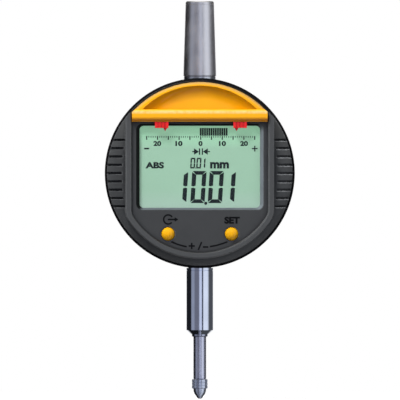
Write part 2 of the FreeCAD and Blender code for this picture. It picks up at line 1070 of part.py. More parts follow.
def sensor_connector():
    """Socket of the reading board, in the hollow pivot."""
    return block(
        -socket_half_width,
        socket_half_width,
        case_front - socket_out,
        case_floor,
        middle - socket_half_height,
        middle + socket_half_height,
    )


def battery_cell():
    """Coin cell with its stepped rim."""
    step = 0.9
    y0, y1 = cell_bottom, cell_bottom + cell_thickness
    return turned_on_body(
        [
            (0.0, y0),
            (cell_radius - step, y0),
            (cell_radius - step, y0 + 0.3),
            (cell_radius, y0 + 0.5),
            (cell_radius, y1 - 0.3),
            (cell_radius - 0.3, y1),
            (0.0, y1),
        ]
    )


def battery_contact_negative():
    """Leaf contact in the floor of the battery pocket."""
    return block(
        -leaf_half_width,
        leaf_half_width,
        cell_bottom - contact_strip,
        cell_bottom,
        middle - leaf_half_length,
        middle + leaf_half_length,
    )


def battery_contact_positive():
    """Curved contact between the cell's rim and the pocket wall."""
    inner = cell_radius + running_gap
    ring = washer(
        inner + rim_contact_thickness,
        inner,
        cell_bottom + cell_thickness / 4,
        cell_bottom + cell_thickness * 3 / 4,
    )
    arc = sector(through, cell_bottom, case_back, 180.0, rim_contact_half_angle)
    return ring.common(arc)


def battery_door():
    """Round twist-lock battery door with a coin slot and bayonet lugs."""
    flange_seat = cover_back - door_flange
    lip_back = flange_seat - door_lip
    hub_end = cell_bottom + cell_thickness + cell_inset
    edge = 0.25
    body = turned_on_body(
        [
            (0.0, hub_end),
            (door_hub_radius, hub_end),
            (door_hub_radius, flange_seat),
            (door_flange_radius, flange_seat),
            (door_flange_radius, cover_back - edge),
            (door_flange_radius - edge, cover_back),
            (0.0, cover_back),
        ]
    )
    lug_end = lip_back - 0.05
    lugs = [
        sector(door_lug_radius, hub_end, lug_end, door_lug_angle(i), door_lug_half_angle)
        for i in range(door_lug_count)
    ]
    slot = block(
        -coin_slot_half,
        coin_slot_half,
        cover_back - coin_slot_depth,
        cover_back,
        middle - coin_slot_width / 2,
        middle + coin_slot_width / 2,
    )
    seal_room = washer(door_hub_radius + 0.1, door_hub_radius - 0.5, *seal_levels())
    return body.fuse(lugs).cut([slot, seal_room])


def seal_levels():
    """Where the battery door's sealing ring lies, between its flange and its lugs."""
    flange_seat = cover_back - door_flange
    return flange_seat - door_lip + 0.1, flange_seat - 0.1


def battery_door_seal():
    """Sealing ring in the groove of the battery door's hub."""
    return washer(door_hub_radius + slide_gap / 2, door_hub_radius - 0.5, *seal_levels())


def head_seal_ring():
    """Ring that seals the gap under the turning display head."""
    return washer(
        seal_radius + seal_section / 2 - seat_gap,
        seal_radius - seal_section / 2 + seat_gap,
        head_back + seat_gap,
        case_front + seal_section - turning_gap,
    )


def head_friction_spring():
    """Spring washer that gives the display head its friction."""
    return washer(
        friction_spring_radius,
        pivot_radius + seat_gap,
        friction_front + seat_gap,
        base_front - seat_gap,
    )


def head_retaining_ring():
    """Open snap ring in the pivot's groove."""
    ring = washer(
        retaining_ring_radius,
        pivot_radius - retaining_groove_depth + seat_gap,
        ring_front + seat_gap,
        friction_front,
    )
    half = retaining_ring_opening / 2
    gap = block(-half, half, ring_front, friction_front, middle - through, middle)
    return ring.cut(gap)


def head_base():
    """Floor of the display head, running on the case's pivot, with its screw posts."""
    posts = [disc(head_post_radius, shelf_back, base_front, x, z) for x, z in head_screw_places()]
    posts += [disc(head_post_radius, board_back, base_front, x, z) for x, z in board_screw_places()]
    floor = disc(head_radius, base_front, head_back)
    body = floor.fuse(posts).common(head_cavity(seat_gap))
    end = base_front + base_hole_depth
    holes = [disc(screw_shank, shelf_back, end, x, z) for x, z in head_screw_places()]
    holes += [disc(screw_shank, board_back, end, x, z) for x, z in board_screw_places()]
    bore = disc(pivot_radius + running_gap, base_front, head_back)
    return body.cut(holes + [bore])


def head_screw_places():
    """The two screws under the top cap, from the middle of the body."""
    x, z = head_screw_share * cap_radius, cap_radius - head_screw_inset
    return [(-x, z), (x, z)]


def board_screw_places():
    """The three screws of the display board, from the middle of the body."""
    reach = board_radius - board_screw_inset
    x = board_screw_share * board_radius
    z = -math.sqrt(reach * reach - x * x)
    return [(0.0, foot_screw_inset - board_radius), (-x, z), (x, z)]


def crown(radius, edge, front, back):
    """The domed round body of the display head, from its rim forward."""
    inner = radius - crown_width
    return turned_on_body(
        [
            (0.0, back),
            (radius, back),
            (radius, edge),
            (curve_between(inner, front, radius, edge), (inner, front)),
            (0.0, front),
        ]
    )


def head_cavity(gap):
    """The hollow of the display head, less a gap all round."""
    return crown(
        head_radius - head_wall - gap,
        crown_edge + crown_wall / 2 + gap,
        shelf_back + gap,
        head_back,
    )


def rib_ring():
    """The rounded rib that frames the face."""
    outer = shield(
        outer_rib_x, outer_rib_radius, rib_corner, body_radius, crown_front + over_cut, rib_front
    )
    inner = shield(
        inner_rib_x,
        inner_rib_radius,
        rib_corner - rib_width,
        body_radius + over_cut,
        crown_front + 2 * over_cut,
        rib_front - over_cut,
    )
    ring = outer.cut(inner)
    front_edges = [
        e
        for e in ring.Edges
        if all(abs(v.Y - rib_front) < 1e-6 for v in e.Vertexes)
        and any(v.Z < middle + body_radius - 1e-6 for v in e.Vertexes)
    ]
    return ring.makeFillet(rib_fillet, front_edges).common(disc(head_radius, rib_front, head_back))


def grip_grooves(solid_crown):
    """The grooves across both cheeks, cut to one depth below the crown's surface."""
    core = crown(
        head_radius - grip_depth, crown_edge + grip_depth, crown_front + grip_depth, head_back
    )
    skin = solid_crown.cut(core)
    cutters = []
    for side in (-1, 1):
        sweep = disc(
            grip_sweep_radius, bar_front, head_back, -side * (grip_sweep_radius - grip_inner_x), 0.0
        )
        for i in range(grip_count):
            z = middle + (i - (grip_count - 1) / 2) * grip_pitch
            slab = block(
                min(0, side * through),
                max(0, side * through),
                bar_front,
                head_back - grip_back_land,
                z - grip_width / 2,
                z + grip_width / 2,
            )
            cutters.append(slab.cut(sweep))
    return skin.common(cutters)


def display_housing():
    """Moulded front shell: gripped cheeks, raised rib, bevelled window, button holes and cap seat."""
    body = crown(head_radius, crown_edge, crown_front, head_back)
    body = body.cut(grip_grooves(body))
    panel = shield(
        rib_middle_x,
        rib_middle_radius,
        rib_corner - rib_width / 2,
        body_radius,
        crown_front,
        panel_front,
    ).common(disc(head_radius - panel_inset, panel_front, crown_front))
    body = body.fuse([panel, rib_ring()])
    pocket = shield(
        inner_rib_x - pocket_inset,
        inner_rib_radius - pocket_inset,
        rib_corner - rib_width,
        shelf_start - over_cut,
        panel_back,
        shelf_back + over_cut,
    )
    lens_room = plate(
        window_half_width + lens_margin,
        window_bottom - lens_margin_bottom,
        window_top + lens_margin_top,
        window_corner,
        lens_front,
        panel_back + 0.1,
    )
    window = Part.makeLoft(
        [
            rounded_rectangle(
                window_half_width, window_bottom, window_top, window_corner, lens_front + 0.001
            ),
            rounded_rectangle(
                window_half_width + bezel_side,
                window_bottom - bezel_end,
                window_top + bezel_end,
                window_corner + bezel_end,
                panel_front - 0.001,
            ),
        ],
        True,
        True,
    )
    button_holes = [
        disc(button_radius + button_gap, panel_front - over_cut, shelf_back, x, button_z)
        for x in (-button_x, button_x)
    ]
    shelf_cut = block(
        -cap_half_width - seat_gap,
        cap_half_width + seat_gap,
        -through,
        shelf_front,
        middle + shelf_start,
        middle + through,
    )
    ledge_cut = block(
        -cap_half_width - seat_gap,
        cap_half_width + seat_gap,
        -through,
        skirt_back,
        middle + cap_bottom,
        middle + through,
    ).cut(disc(cap_radius - cap_skirt - seat_gap, panel_front, skirt_back))
    screw_seats = []
    for x, z in head_screw_places():
        seat = shelf_front + screw_head_height
        screw_seats.append(disc(screw_head + slide_gap, -through, seat, x, z))
        screw_seats.append(disc(screw_shank + slide_gap, shelf_front, 0.0, x, z))
    tab_slots = [tab_block(x, slide_gap, -through, 0.0) for x in (-cap_tab_x, cap_tab_x)]
    cuts = [head_cavity(0.0), pocket, lens_room, window, shelf_cut, ledge_cut]
    return body.cut(cuts + button_holes + screw_seats + tab_slots)


def tab_block(x, extra, y0, y1):
    """The room that one snap tab of the top cap takes."""
    half = cap_tab_width / 2 + extra
    z = middle + cap_tab_height
    return block(
        x - half,
        x + half,
        y0,
        y1,
        z - cap_tab_thickness / 2 - extra,
        z + cap_tab_thickness / 2 + cap_tab_nose + extra,
    )


def head_screws():
    """Two screws under the top cap that hold the front shell to its base."""
    seat = shelf_front + screw_head_height
    tip = base_front + head_screw_bite
    screws = []
    for x, z in head_screw_places():
        screw = disc(screw_head, shelf_front + 0.1, seat, x, z)
        screw = screw.fuse(disc(screw_shank - seat_gap, seat, tip, x, z))
        screws.append(screw)
    return group(screws)


def marker_channel():
    """The undercut channel behind the top cap's bar that both markers slide in."""
    neck = block(
        -channel_half_length,
        channel_half_length,
        panel_front - channel_neck,
        panel_front + over_cut,
        middle + cap_bottom - over_cut,
        middle + shelf_start,
    )
    head = block(
        -channel_half_length,
        channel_half_length,
        panel_front - channel_head,
        panel_front + over_cut,
        middle + channel_lip_top,
        middle + shelf_start,
    )
    return neck.fuse(head)


def top_cap():
    """Snap-on cap: round rim, coved thumb scoop and the bar over the markers."""
    rim = turned_on_body(
        [
            (0.0, skirt_back),
            (cap_radius, skirt_back),
            (cap_radius, rim_front + cap_rim_round),
            (
                (
                    cap_radius - cap_rim_round * (1 - math.sqrt(0.5)),
                    rim_front + cap_rim_round * (1 - math.sqrt(0.5)),
                ),
                (cap_radius - cap_rim_round, rim_front),
            ),
            (0.0, rim_front),
        ]
    )
    window = block(
        -cap_half_width,
        cap_half_width,
        -through,
        skirt_back,
        middle + cap_bottom,
        middle + through,
    )
    rim = rim.common(window)
    scoop = scoop_cutter()
    rim = rim.cut(scoop)
    cross = outline(
        [
            (panel_front, cap_bottom),
            (bar_front + bar_bottom_round, cap_bottom),
            (
                (
                    bar_front + bar_bottom_round * (1 - math.sqrt(0.5)),
                    cap_bottom + bar_bottom_round * (1 - math.sqrt(0.5)),
                ),
                (bar_front, cap_bottom + bar_bottom_round),
            ),
            (bar_front, bar_top - bar_top_round),
            (
                (
                    bar_front + bar_top_round * (1 - math.sqrt(0.5)),
                    bar_top - bar_top_round * (1 - math.sqrt(0.5)),
                ),
                (bar_front + bar_top_round, bar_top),
            ),
            (scoop_floor, bar_top),
            (scoop_floor, shelf_start),
            (panel_front, shelf_start),
        ],
        lambda y, z: V(-cap_half_width, y, middle + z),
    )
    bar_piece = cross.extrude(V(2 * cap_half_width, 0, 0)).common(disc(cap_radius, bar_front, 0.0))
    body = rim.fuse(bar_piece)
    under = cap_radius - cap_skirt
    island = disc(under, shelf_front, skirt_back)
    step = disc(under, panel_front, skirt_back).common(
        block(
            -through,
            through,
            panel_front,
            skirt_back,
            middle + cap_bottom - over_cut,
            middle + shelf_start + seat_gap,
        )
    )
    body = body.cut([island, step, marker_channel()])
    tabs = []
    for x in (-cap_tab_x, cap_tab_x):
        half = cap_tab_width / 2
        z = middle + cap_tab_height
        z0, z1 = z - cap_tab_thickness / 2, z + cap_tab_thickness / 2
        hook_start = shelf_back + slide_gap
        tabs.append(block(x - half, x + half, shelf_front, hook_start + cap_tab_reach, z0, z1))
        hook = Part.Face(
            Part.makePolygon(
                [
                    V(x - half, hook_start, z1),
                    V(x - half, hook_start, z1 + cap_tab_nose),
                    V(x - half, hook_start + cap_tab_reach, z1),
                    V(x - half, hook_start, z1),
                ]
            )
        ).extrude(V(cap_tab_width, 0, 0))
        tabs.append(hook)
    return body.fuse(tabs)


def scoop_cutter():
    """A shallow dish with a coved rim, kept above the bar."""
    flat = scoop_radius - scoop_cove
    centre = scoop_top - scoop_radius
    face = outline(
        [
            (0.0, scoop_floor),
            (flat, scoop_floor),
            (curve_between(flat, scoop_floor, scoop_radius, rim_front), (scoop_radius, rim_front)),
            (scoop_radius, rim_front - over_cut),
            (0.0, rim_front - over_cut),
        ],
        lambda r, y: V(r, y, middle + centre),
    )
    dish = face.revolve(V(0, 0, middle + centre), ALONG_Y, 360)
    above = block(-through, through, -through, 0.0, middle + bar_top - scoop_overlap, middle + through)
    return dish.common(above)


def display_window():
    """Clear lens behind the bevelled window."""
    return plate(
        window_half_width + lens_margin - seat_gap,
        window_bottom - lens_margin_bottom + seat_gap,
        window_top + lens_margin_top - seat_gap,
        window_corner,
        lens_front,
        panel_back,
    )


def lcd_panel():
    """Liquid crystal cell."""
    return block(
        -window_half_width - lcd_margin,
        window_half_width + lcd_margin,
        lcd_front,
        lcd_back,
        middle + window_bottom - lcd_margin_bottom,
        middle + window_top + lcd_margin,
    )


def lcd_frame():
    """Frame that centres the cell on the display board and holds its connector strips."""
    gap = slide_gap / 2
    x = window_half_width + lcd_margin
    z0 = middle + window_bottom - lcd_margin_bottom
    z1 = middle + window_top + lcd_margin
    side = x + frame_wall
    body = block(-side, side, lcd_front, board_front, z0 - frame_wall, z1 + frame_wall)
    cell_room = block(-x - gap, x + gap, lcd_front, lcd_back, z0 - gap, z1 + gap)
    inner = x - frame_ledge
    middle_room = block(-inner, inner, lcd_back, board_front, z0 + gap, z1 - gap)
    return body.cut([cell_room, middle_room])


def lcd_connector_strips():
    """Two rubber connector strips between the cell and the display board."""
    x = window_half_width + lcd_margin - frame_ledge - slide_gap
    z0 = middle + window_bottom - lcd_margin_bottom + slide_gap
    z1 = middle + window_top + lcd_margin - slide_gap
    return group(
        [
            block(-x, x, lcd_back, board_front, z0, z0 + strip_width),
            block(-x, x, lcd_back, board_front, z1 - strip_width, z1),
        ]
    )


def display_board():
    """Round printed circuit board with a flat top edge."""
    top = middle + cap_bottom + board_top_over
    body = disc(board_radius, board_front, board_back).cut(
        block(-through, through, board_front, board_back, top, middle + through)
    )
    holes = [
        disc(screw_shank + slide_gap, board_front, board_back, x, z)
        for x, z in board_screw_places()
    ]
    return body.cut(holes)


def display_chip():
    """Display controller, under the liquid crystal cell."""
    return block(
        -chip_half,
        chip_half,
        board_front - strip_height + air_gap,
        board_front,
        middle - chip_half,
        middle + chip_half,
    )


def display_board_screws():
    """Three screws that hold the display board to its base."""
    return group(
        [
            pan_head_screw(x, z, board_front, base_front - board_screw_end)
            for x, z in board_screw_places()
        ]
    )


def display_connector():
    """Socket on the back of the display board, over the hollow pivot."""
    return block(
        -display_socket_half_width,
        display_socket_half_width,
        board_back,
        board_back + display_socket_depth,
        middle + display_socket_low,
        middle + display_socket_low + display_socket_height,
    )


def flex_ribbon():
    """Ribbon cable coiled in the hollow pivot, so that the head can turn."""
    front = board_back + display_socket_depth
    back = head_back - ribbon_end_gap
    turns = []
    for i in range(ribbon_half_turns):
        inner = ribbon_inner + i * ribbon_pitch / 2
        upper = i % 2 == 0
        shift = 0.0 if upper else -ribbon_pitch / 2
        ring = washer(inner + ribbon_thickness, inner, front, back, shift, 0.0)
        low = middle if upper else middle - through
        turns.append(ring.common(block(-through, through, front, back, low, low + through)))
    return turns[0].multiFuse(turns[1:]).removeSplitter()


def button_switches():
    """Two snap-dome switches on the display board."""
    switches = []
    for x in (-button_x, button_x):
        z = middle + button_z
        body = block(
            x - switch_half,
            x + switch_half,
            board_front - switch_height,
            board_front,
            z - switch_half,
            z + switch_half,
        )
        top = board_front - switch_height
        nub = disc(switch_nub_radius, top - switch_nub, top, x, button_z)
        switches.append(body.fuse(nub))
    return group(switches)


def button(x):
    """Domed push button with the flange that keeps it in the shell."""
    front = panel_front - button_rise
    back = panel_back + seat_gap + button_flange_thickness
    flange = button_radius + button_flange
    shoulder = front + button_dome
    face = outline(
        [
            (0.0, back),
            (flange, back),
            (flange, panel_back + seat_gap),
            (button_radius, panel_back + seat_gap),
            (button_radius, shoulder),
            (curve_between(0.0, front, button_radius, shoulder), (0.0, front)),
        ],
        lambda r, y: V(x + r, y, middle + button_z),
    )
    return face.revolve(V(x, 0, middle + button_z), ALONG_Y, 360)


def marker(tip_x, inner_side):
    """Sliding tolerance marker: captive head, ribbed finger pad and a pointer at its inner end."""
    inner = tip_x + inner_side * marker_tip_inset
    outer = inner - inner_side * marker_width
    x0, x1 = min(inner, outer), max(inner, outer)
    back = panel_front - slide_gap / 2
    neck_front = panel_front - channel_neck + slide_gap
    head_front = panel_front - channel_head + slide_gap
    pad_front = panel_front - channel_neck - marker_pad_rise + slide_gap
    z_bottom = middle + marker_bottom
    blade = block(x0, x1, neck_front, back, z_bottom, middle + shelf_start - slide_gap)
    head = block(
        x0,
        x1,
        head_front,
        back,
        middle + channel_lip_top + slide_gap,
        middle + shelf_start - slide_gap,
    )
    pad = block(x0, x1, pad_front, back, z_bottom, middle + cap_bottom - slide_gap)
    pointer = Part.Face(
        Part.makePolygon(
            [
                V(tip_x - marker_tip_half, back, z_bottom + pointer_overlap),
                V(tip_x + marker_tip_half, back, z_bottom + pointer_overlap),
                V(tip_x, back, middle + marker_tip),
                V(tip_x - marker_tip_half, back, z_bottom + pointer_overlap),
            ]
        )
    ).extrude(V(0, neck_front - back, 0))
    body = blade.fuse([head, pad, pointer])
    gap = marker_width / (marker_rib_count + 1)
    grooves = [
        block(
            x0 + (i + 1) * gap - marker_rib_width / 2,
            x0 + (i + 1) * gap + marker_rib_width / 2,
            pad_front - over_cut,
            pad_front + marker_rib_depth,
            z_bottom - over_cut,
            middle + cap_bottom,
        )
        for i in range(marker_rib_count)
    ]
    return body.cut(grooves)


NODES = {
    "rear_case": rear_case,
    "rear_cover": rear_cover,
    "rear_cover_gasket": rear_cover_gasket,
    "rear_cover_screws": rear_cover_screws,
    "clamping_stem": clamping_stem,
    "lower_bush": lower_bush,
    "upper_bush": upper_bush,
    "stop_buffer": stop_buffer,
    "cap_base_ring": cap_base_ring,
    "spindle_cap": spindle_cap,
    "spindle": spindle,
    "contact_point": contact_point,
    "contact_ball": contact_ball,
    "scale_carrier": scale_carrier,
    "scale_strip": scale_strip,
    "guide_pin": guide_pin,
    "guide_rail": guide_rail,
    "guide_rail_screws": guide_rail_screws,
    "return_spring": return_spring,
    "spring_pin": spring_pin,
    "sensor_board": sensor_board,
    "sensor_board_screws": sensor_board_screws,
    "reading_head": reading_head,
    "sensor_connector": sensor_connector,
    "battery_cell": battery_cell,
    "battery_contact_negative": battery_contact_negative,
    "battery_contact_positive": battery_contact_positive,
    "battery_door": battery_door,
    "battery_door_seal": battery_door_seal,
    "head_seal_ring": head_seal_ring,
    "head_friction_spring": head_friction_spring,
    "head_retaining_ring": head_retaining_ring,
    "head_base": head_base,
    "display_housing": display_housing,
    "head_screws": head_screws,
    "top_cap": top_cap,
    "display_window": display_window,
    "lcd_panel": lcd_panel,
    "lcd_frame": lcd_frame,
    "lcd_connector_strips": lcd_connector_strips,
    "display_board": display_board,
    "display_chip": display_chip,
    "display_board_screws": display_board_screws,
    "display_connector": display_connector,
    "flex_ribbon": flex_ribbon,
    "button_switches": button_switches,
    "mode_button": lambda: button(-button_x),
    "set_button": lambda: button(button_x),
    "left_tolerance_marker": lambda: marker(left_marker_at * scale_unit, 1),
    "right_tolerance_marker": lambda: marker(right_marker_at * scale_unit, -1),
}


def main():
    """Builds each piece and writes it to its own file."""
    os.makedirs("parts", exist_ok=True)
    for name, make in NODES.items():
        make().exportStep(os.path.join("parts", name + ".step"))


if __name__ == "__main__":
    main()
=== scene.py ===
"""Looks of a digital indicator: its finishes, the reading on its display and its legends.

Lengths in the classes are millimetres. On the face, x runs to the right and z up from
the middle of the round body, and y from the spindle's axis to the back. Meshes are
made in metres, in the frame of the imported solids.
"""

import logging
import math
from collections.abc import Iterable, Sequence
from dataclasses import dataclass
from enum import Enum
from functools import partial, reduce

import bmesh
import bpy
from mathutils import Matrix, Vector


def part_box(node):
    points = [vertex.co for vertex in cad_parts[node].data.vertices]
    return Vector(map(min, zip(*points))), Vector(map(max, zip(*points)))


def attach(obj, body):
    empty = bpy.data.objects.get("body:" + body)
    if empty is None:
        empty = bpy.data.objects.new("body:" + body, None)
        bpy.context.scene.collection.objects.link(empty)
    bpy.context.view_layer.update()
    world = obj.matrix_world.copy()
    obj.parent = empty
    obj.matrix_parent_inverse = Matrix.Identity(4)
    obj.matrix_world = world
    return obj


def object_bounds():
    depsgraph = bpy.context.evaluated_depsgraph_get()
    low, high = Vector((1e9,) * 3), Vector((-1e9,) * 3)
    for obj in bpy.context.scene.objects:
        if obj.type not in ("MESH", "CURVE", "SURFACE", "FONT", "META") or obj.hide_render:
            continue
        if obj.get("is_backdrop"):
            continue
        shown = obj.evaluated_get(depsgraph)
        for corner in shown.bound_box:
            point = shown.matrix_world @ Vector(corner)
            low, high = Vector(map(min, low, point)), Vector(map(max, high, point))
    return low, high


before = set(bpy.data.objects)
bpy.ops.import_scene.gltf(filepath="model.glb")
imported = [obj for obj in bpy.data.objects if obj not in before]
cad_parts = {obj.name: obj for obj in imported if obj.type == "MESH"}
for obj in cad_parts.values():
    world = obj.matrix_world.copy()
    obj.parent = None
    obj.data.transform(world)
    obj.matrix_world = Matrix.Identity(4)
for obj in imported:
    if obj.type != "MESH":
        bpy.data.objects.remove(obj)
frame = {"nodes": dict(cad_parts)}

log = logging.getLogger("indicator")

# A millimetre in metres, and a metre in millimetres.
MM = 0.001
METRE = 1000.0
X, Y, Z = 0, 1, 2
WHITE = (1.0, 1.0, 1.0)
# The body that every piece here rides on, and the name of the shell's slot.
HEAD = "display_head"
SHELL_SLOT = "shell_plastic"
# Where the values of a noise mostly lie.
NOISE_LOW, NOISE_HIGH = 0.3, 0.7
# The segments that show a nought and a one.
NOUGHT, ONE = "abcdef", "bc"

Colour = tuple[float, float, float]
Place = tuple[float, float, float]
Point = tuple[float, float]
Outline = list[Point]
Socket = bpy.types.NodeSocket


class Marks(Enum):
    """How a tool ran over a metal surface, as the stretch of its marks along x, y and z."""

    ROUND_THE_STEM = (0.04, 0.04, 1.0)
    ROUND_THE_FACE = (0.3, 0.05, 0.3)
    ALONG_THE_STEM = (1.0, 1.0, 0.03)
    EVEN = (1.0, 1.0, 1.0)


def from_screen(red: int, green: int, blue: int) -> Colour:
    """Turns a colour as a screen shows it into the linear one that a shader takes.

    Args:
        red: Red, from 0 to 255.
        green: Green, from 0 to 255.
        blue: Blue, from 0 to 255.

    Returns:
        The linear colour.
    """
    parts = []
    for value in (red, green, blue):
        share = value / 255
        linear = share / 12.92 if share <= 0.04045 else ((share + 0.055) / 1.055) ** 2.4
        parts.append(linear)
    return (parts[0], parts[1], parts[2])


def shaded(colour: Colour, factor: float) -> Colour:
    """Returns the colour made lighter or darker by a factor."""
    red, green, blue = (min(1.0, part * factor) for part in colour)
    return (red, green, blue)


class Tree:
    """A node tree, with short calls that add to it."""

    def __init__(self, tree: bpy.types.NodeTree) -> None:
        """Keeps the tree."""
        self.tree = tree

    def add(
        self, kind: str, given: dict[int | str, object] | None = None, **settings: object
    ) -> bpy.types.Node:
        """Adds a node.

        Args:
            kind: The node's type.
            given: What its inputs take, by their numbers or names.
            **settings: Properties of the node.

        Returns:
            The new node.
        """
        node = self.tree.nodes.new(kind)
        for name, value in settings.items():
            setattr(node, name, value)
        for name, value in (given or {}).items():
            self.feed(node.inputs[name], value)
        return node

    def feed(self, socket: Socket, value: object) -> None:
        """Links a socket to another one, or sets its value.

        Args:
            socket: The socket that takes the value.
            value: Another node's output, a number, a vector or a colour.
        """
        if isinstance(value, Socket):
            self.tree.links.new(value, socket)
        elif socket.type == "RGBA":
            socket.default_value = (*value, 1.0)
        else:
            socket.default_value = value

    def maths(self, operation: str, first: object, second: object) -> Socket:
        """Works out two numbers or outputs by an operation's name."""
        return self.add("ShaderNodeMath", {0: first, 1: second}, operation=operation).outputs[0]

    def product(self, *factors: object) -> Socket:
        """Multiplies numbers and outputs."""
        return reduce(partial(self.maths, "MULTIPLY"), factors)

    def between(
        self, value: Socket, low: float, high: float, start: object = 0.0, end: object = 1.0
    ) -> Socket:
        """Maps a value so that low gives start and high gives end, held at both."""
        given = dict(enumerate((value, low, high, start, end)))
        return self.add("ShaderNodeMapRange", given).outputs[0]

    def spread(self, noise: Socket, start: object = 0.0, end: object = 1.0) -> Socket:
        """Maps a noise so that its low places give start and its high ones give end."""
        return self.between(noise, NOISE_LOW, NOISE_HIGH, start, end)

    def mix(self, share: object, first: object, second: object) -> Socket:
        """Mixes two colours, with a share of the second."""
        given = {0: share, 6: first, 7: second}
        return self.add("ShaderNodeMix", given, data_type="RGBA").outputs[2]

    def blend(self, share: Socket, first: Socket, second: Socket) -> Socket:
        """Mixes two shaders, with a share of the second."""
        return self.add("ShaderNodeMixShader", {0: share, 1: first, 2: second}).outputs[0]

    def axis(self, vector: Socket, index: int) -> Socket:
        """Gives one part of a vector."""
        return self.add("ShaderNodeSeparateXYZ", {0: vector}).outputs[index]

    def seen(self) -> Socket:
        """Gives one for what is seen straight or through glass, and zero for the rest."""
        path = self.add("ShaderNodeLightPath").outputs
        return self.maths("MAXIMUM", path["Is Camera Ray"], path["Is Transmission Ray"])

    def ramp(self, value: Socket, stops: Sequence[tuple[float, Colour]]) -> Socket:
        """Turns a value into a colour.

        Args:
            value: The value, from zero to one.
            stops: Each stop's place and colour, in order.

        Returns:
            The colour.
        """
        node = self.add("ShaderNodeValToRGB", {0: value})
        elements = node.color_ramp.elements
        while len(elements) < len(stops):
            elements.new(1.0)
        for element, (place, colour) in zip(elements, stops):
            element.position = place
            element.color = (*colour, 1.0)
        return node.outputs[0]


class Sheet(Tree):
    """One material's node tree."""

    def __init__(self, name: str) -> None:
        """Starts a material with a bare shader.

        Args:
            name: The material's name.
        """
        self.material = bpy.data.materials.new(name)
        self.material.use_nodes = True
        super().__init__(self.material.node_tree)
        self.shader = self.tree.nodes["Principled BSDF"]
        self.output = self.tree.nodes["Material Output"]

    def set(self, name: str, value: object) -> None:
        """Feeds one of the shader's sockets."""
        self.feed(self.shader.inputs[name], value)

    def place(self, stretch: Sequence[float] = (1.0, 1.0, 1.0)) -> Socket:
        """Gives the place on the object, with each axis stretched."""
        place = self.add("ShaderNodeTexCoord").outputs["Object"]
        return self.add("ShaderNodeMapping", {"Vector": place, "Scale": stretch}).outputs[0]

    def where(self, index: int) -> Socket:
        """Gives the place on the object along one axis, in millimetres."""
        return self.axis(self.place((METRE, METRE, METRE)), index)

    def facing(self, index: int) -> Socket:
        """Gives how far the surface faces along one axis."""
        return self.axis(self.add("ShaderNodeTexCoord").outputs["Normal"], index)

    def noise(
        self, size: float, detail: float = 2.0, place: Socket | None = None, sharpness: float = 0.5
    ) -> Socket:
        """Adds noise.

        Args:
            size: The size of its patches in millimetres.
            detail: How many finer layers it has.
            place: Where it is read, the object's own place if left out.
            sharpness: How strong the finer layers are.

        Returns:
            The noise, around one half.
        """
        given = {"Scale": 1 / (size * MM), "Detail": detail, "Roughness": sharpness}
        given["Vector"] = place or self.place()
        return self.add("ShaderNodeTexNoise", given).outputs[0]

    def bands(self, direction: str, pitch: float) -> Socket:
        """Adds even bands across an axis, at a pitch in millimetres."""
        given = {"Scale": math.tau / 20 / (pitch * MM), "Vector": self.place()}
        return self.add("ShaderNodeTexWave", given, bands_direction=direction).outputs[1]

    def clouded(self, cloud: Socket, colour: Colour, amount: float) -> Socket:
        """Makes a colour darker and paler with a noise."""
        share = self.spread(cloud)
        return self.mix(share, shaded(colour, 1 - amount), shaded(colour, 1 + amount))

    def rounded(self, width: float) -> Socket:
        """Gives which way the surface faces, with its edges rounded for the eye."""
        return self.add("ShaderNodeBevel", {"Radius": width * MM}, samples=4).outputs[0]

    def edges(self, width: float) -> Socket:
        """Finds the edges.

        Args:
            width: How far an edge reaches, in millimetres.

        Returns:
            One at an edge and zero away from it.
        """
        plain = self.add("ShaderNodeNewGeometry").outputs["Normal"]
        given = {0: self.rounded(width), 1: plain}
        product = self.add("ShaderNodeVectorMath", given, operation="DOT_PRODUCT")
        return self.between(product.outputs["Value"], 0.99, 0.9)

    def openness(self, reach: float) -> Socket:
        """Gives one in the open, and less where something within reach closes it in."""
        node = self.add("ShaderNodeAmbientOcclusion", {"Distance": reach * MM}, samples=8)
        return node.outputs["AO"]

    def bump(self, height: Socket, depth: float) -> None:
        """Bumps the surface by a height from zero to one, to a depth in millimetres."""
        given = {"Strength": 1.0, "Distance": depth * MM, "Height": height}
        self.set("Normal", self.add("ShaderNodeBump", given).outputs[0])


@dataclass(frozen=True)
class Finish:
    """A finish with a name of its own."""

    name: str

    def make(self) -> bpy.types.Material:
        """Builds the finish.

        Returns:
            The finish as a material.
        """
        sheet = Sheet(self.name)
        self.paint(sheet)
        return sheet.material

    def paint(self, sheet: Sheet) -> None:
        """Adds the finish's nodes to its sheet."""
        raise NotImplementedError


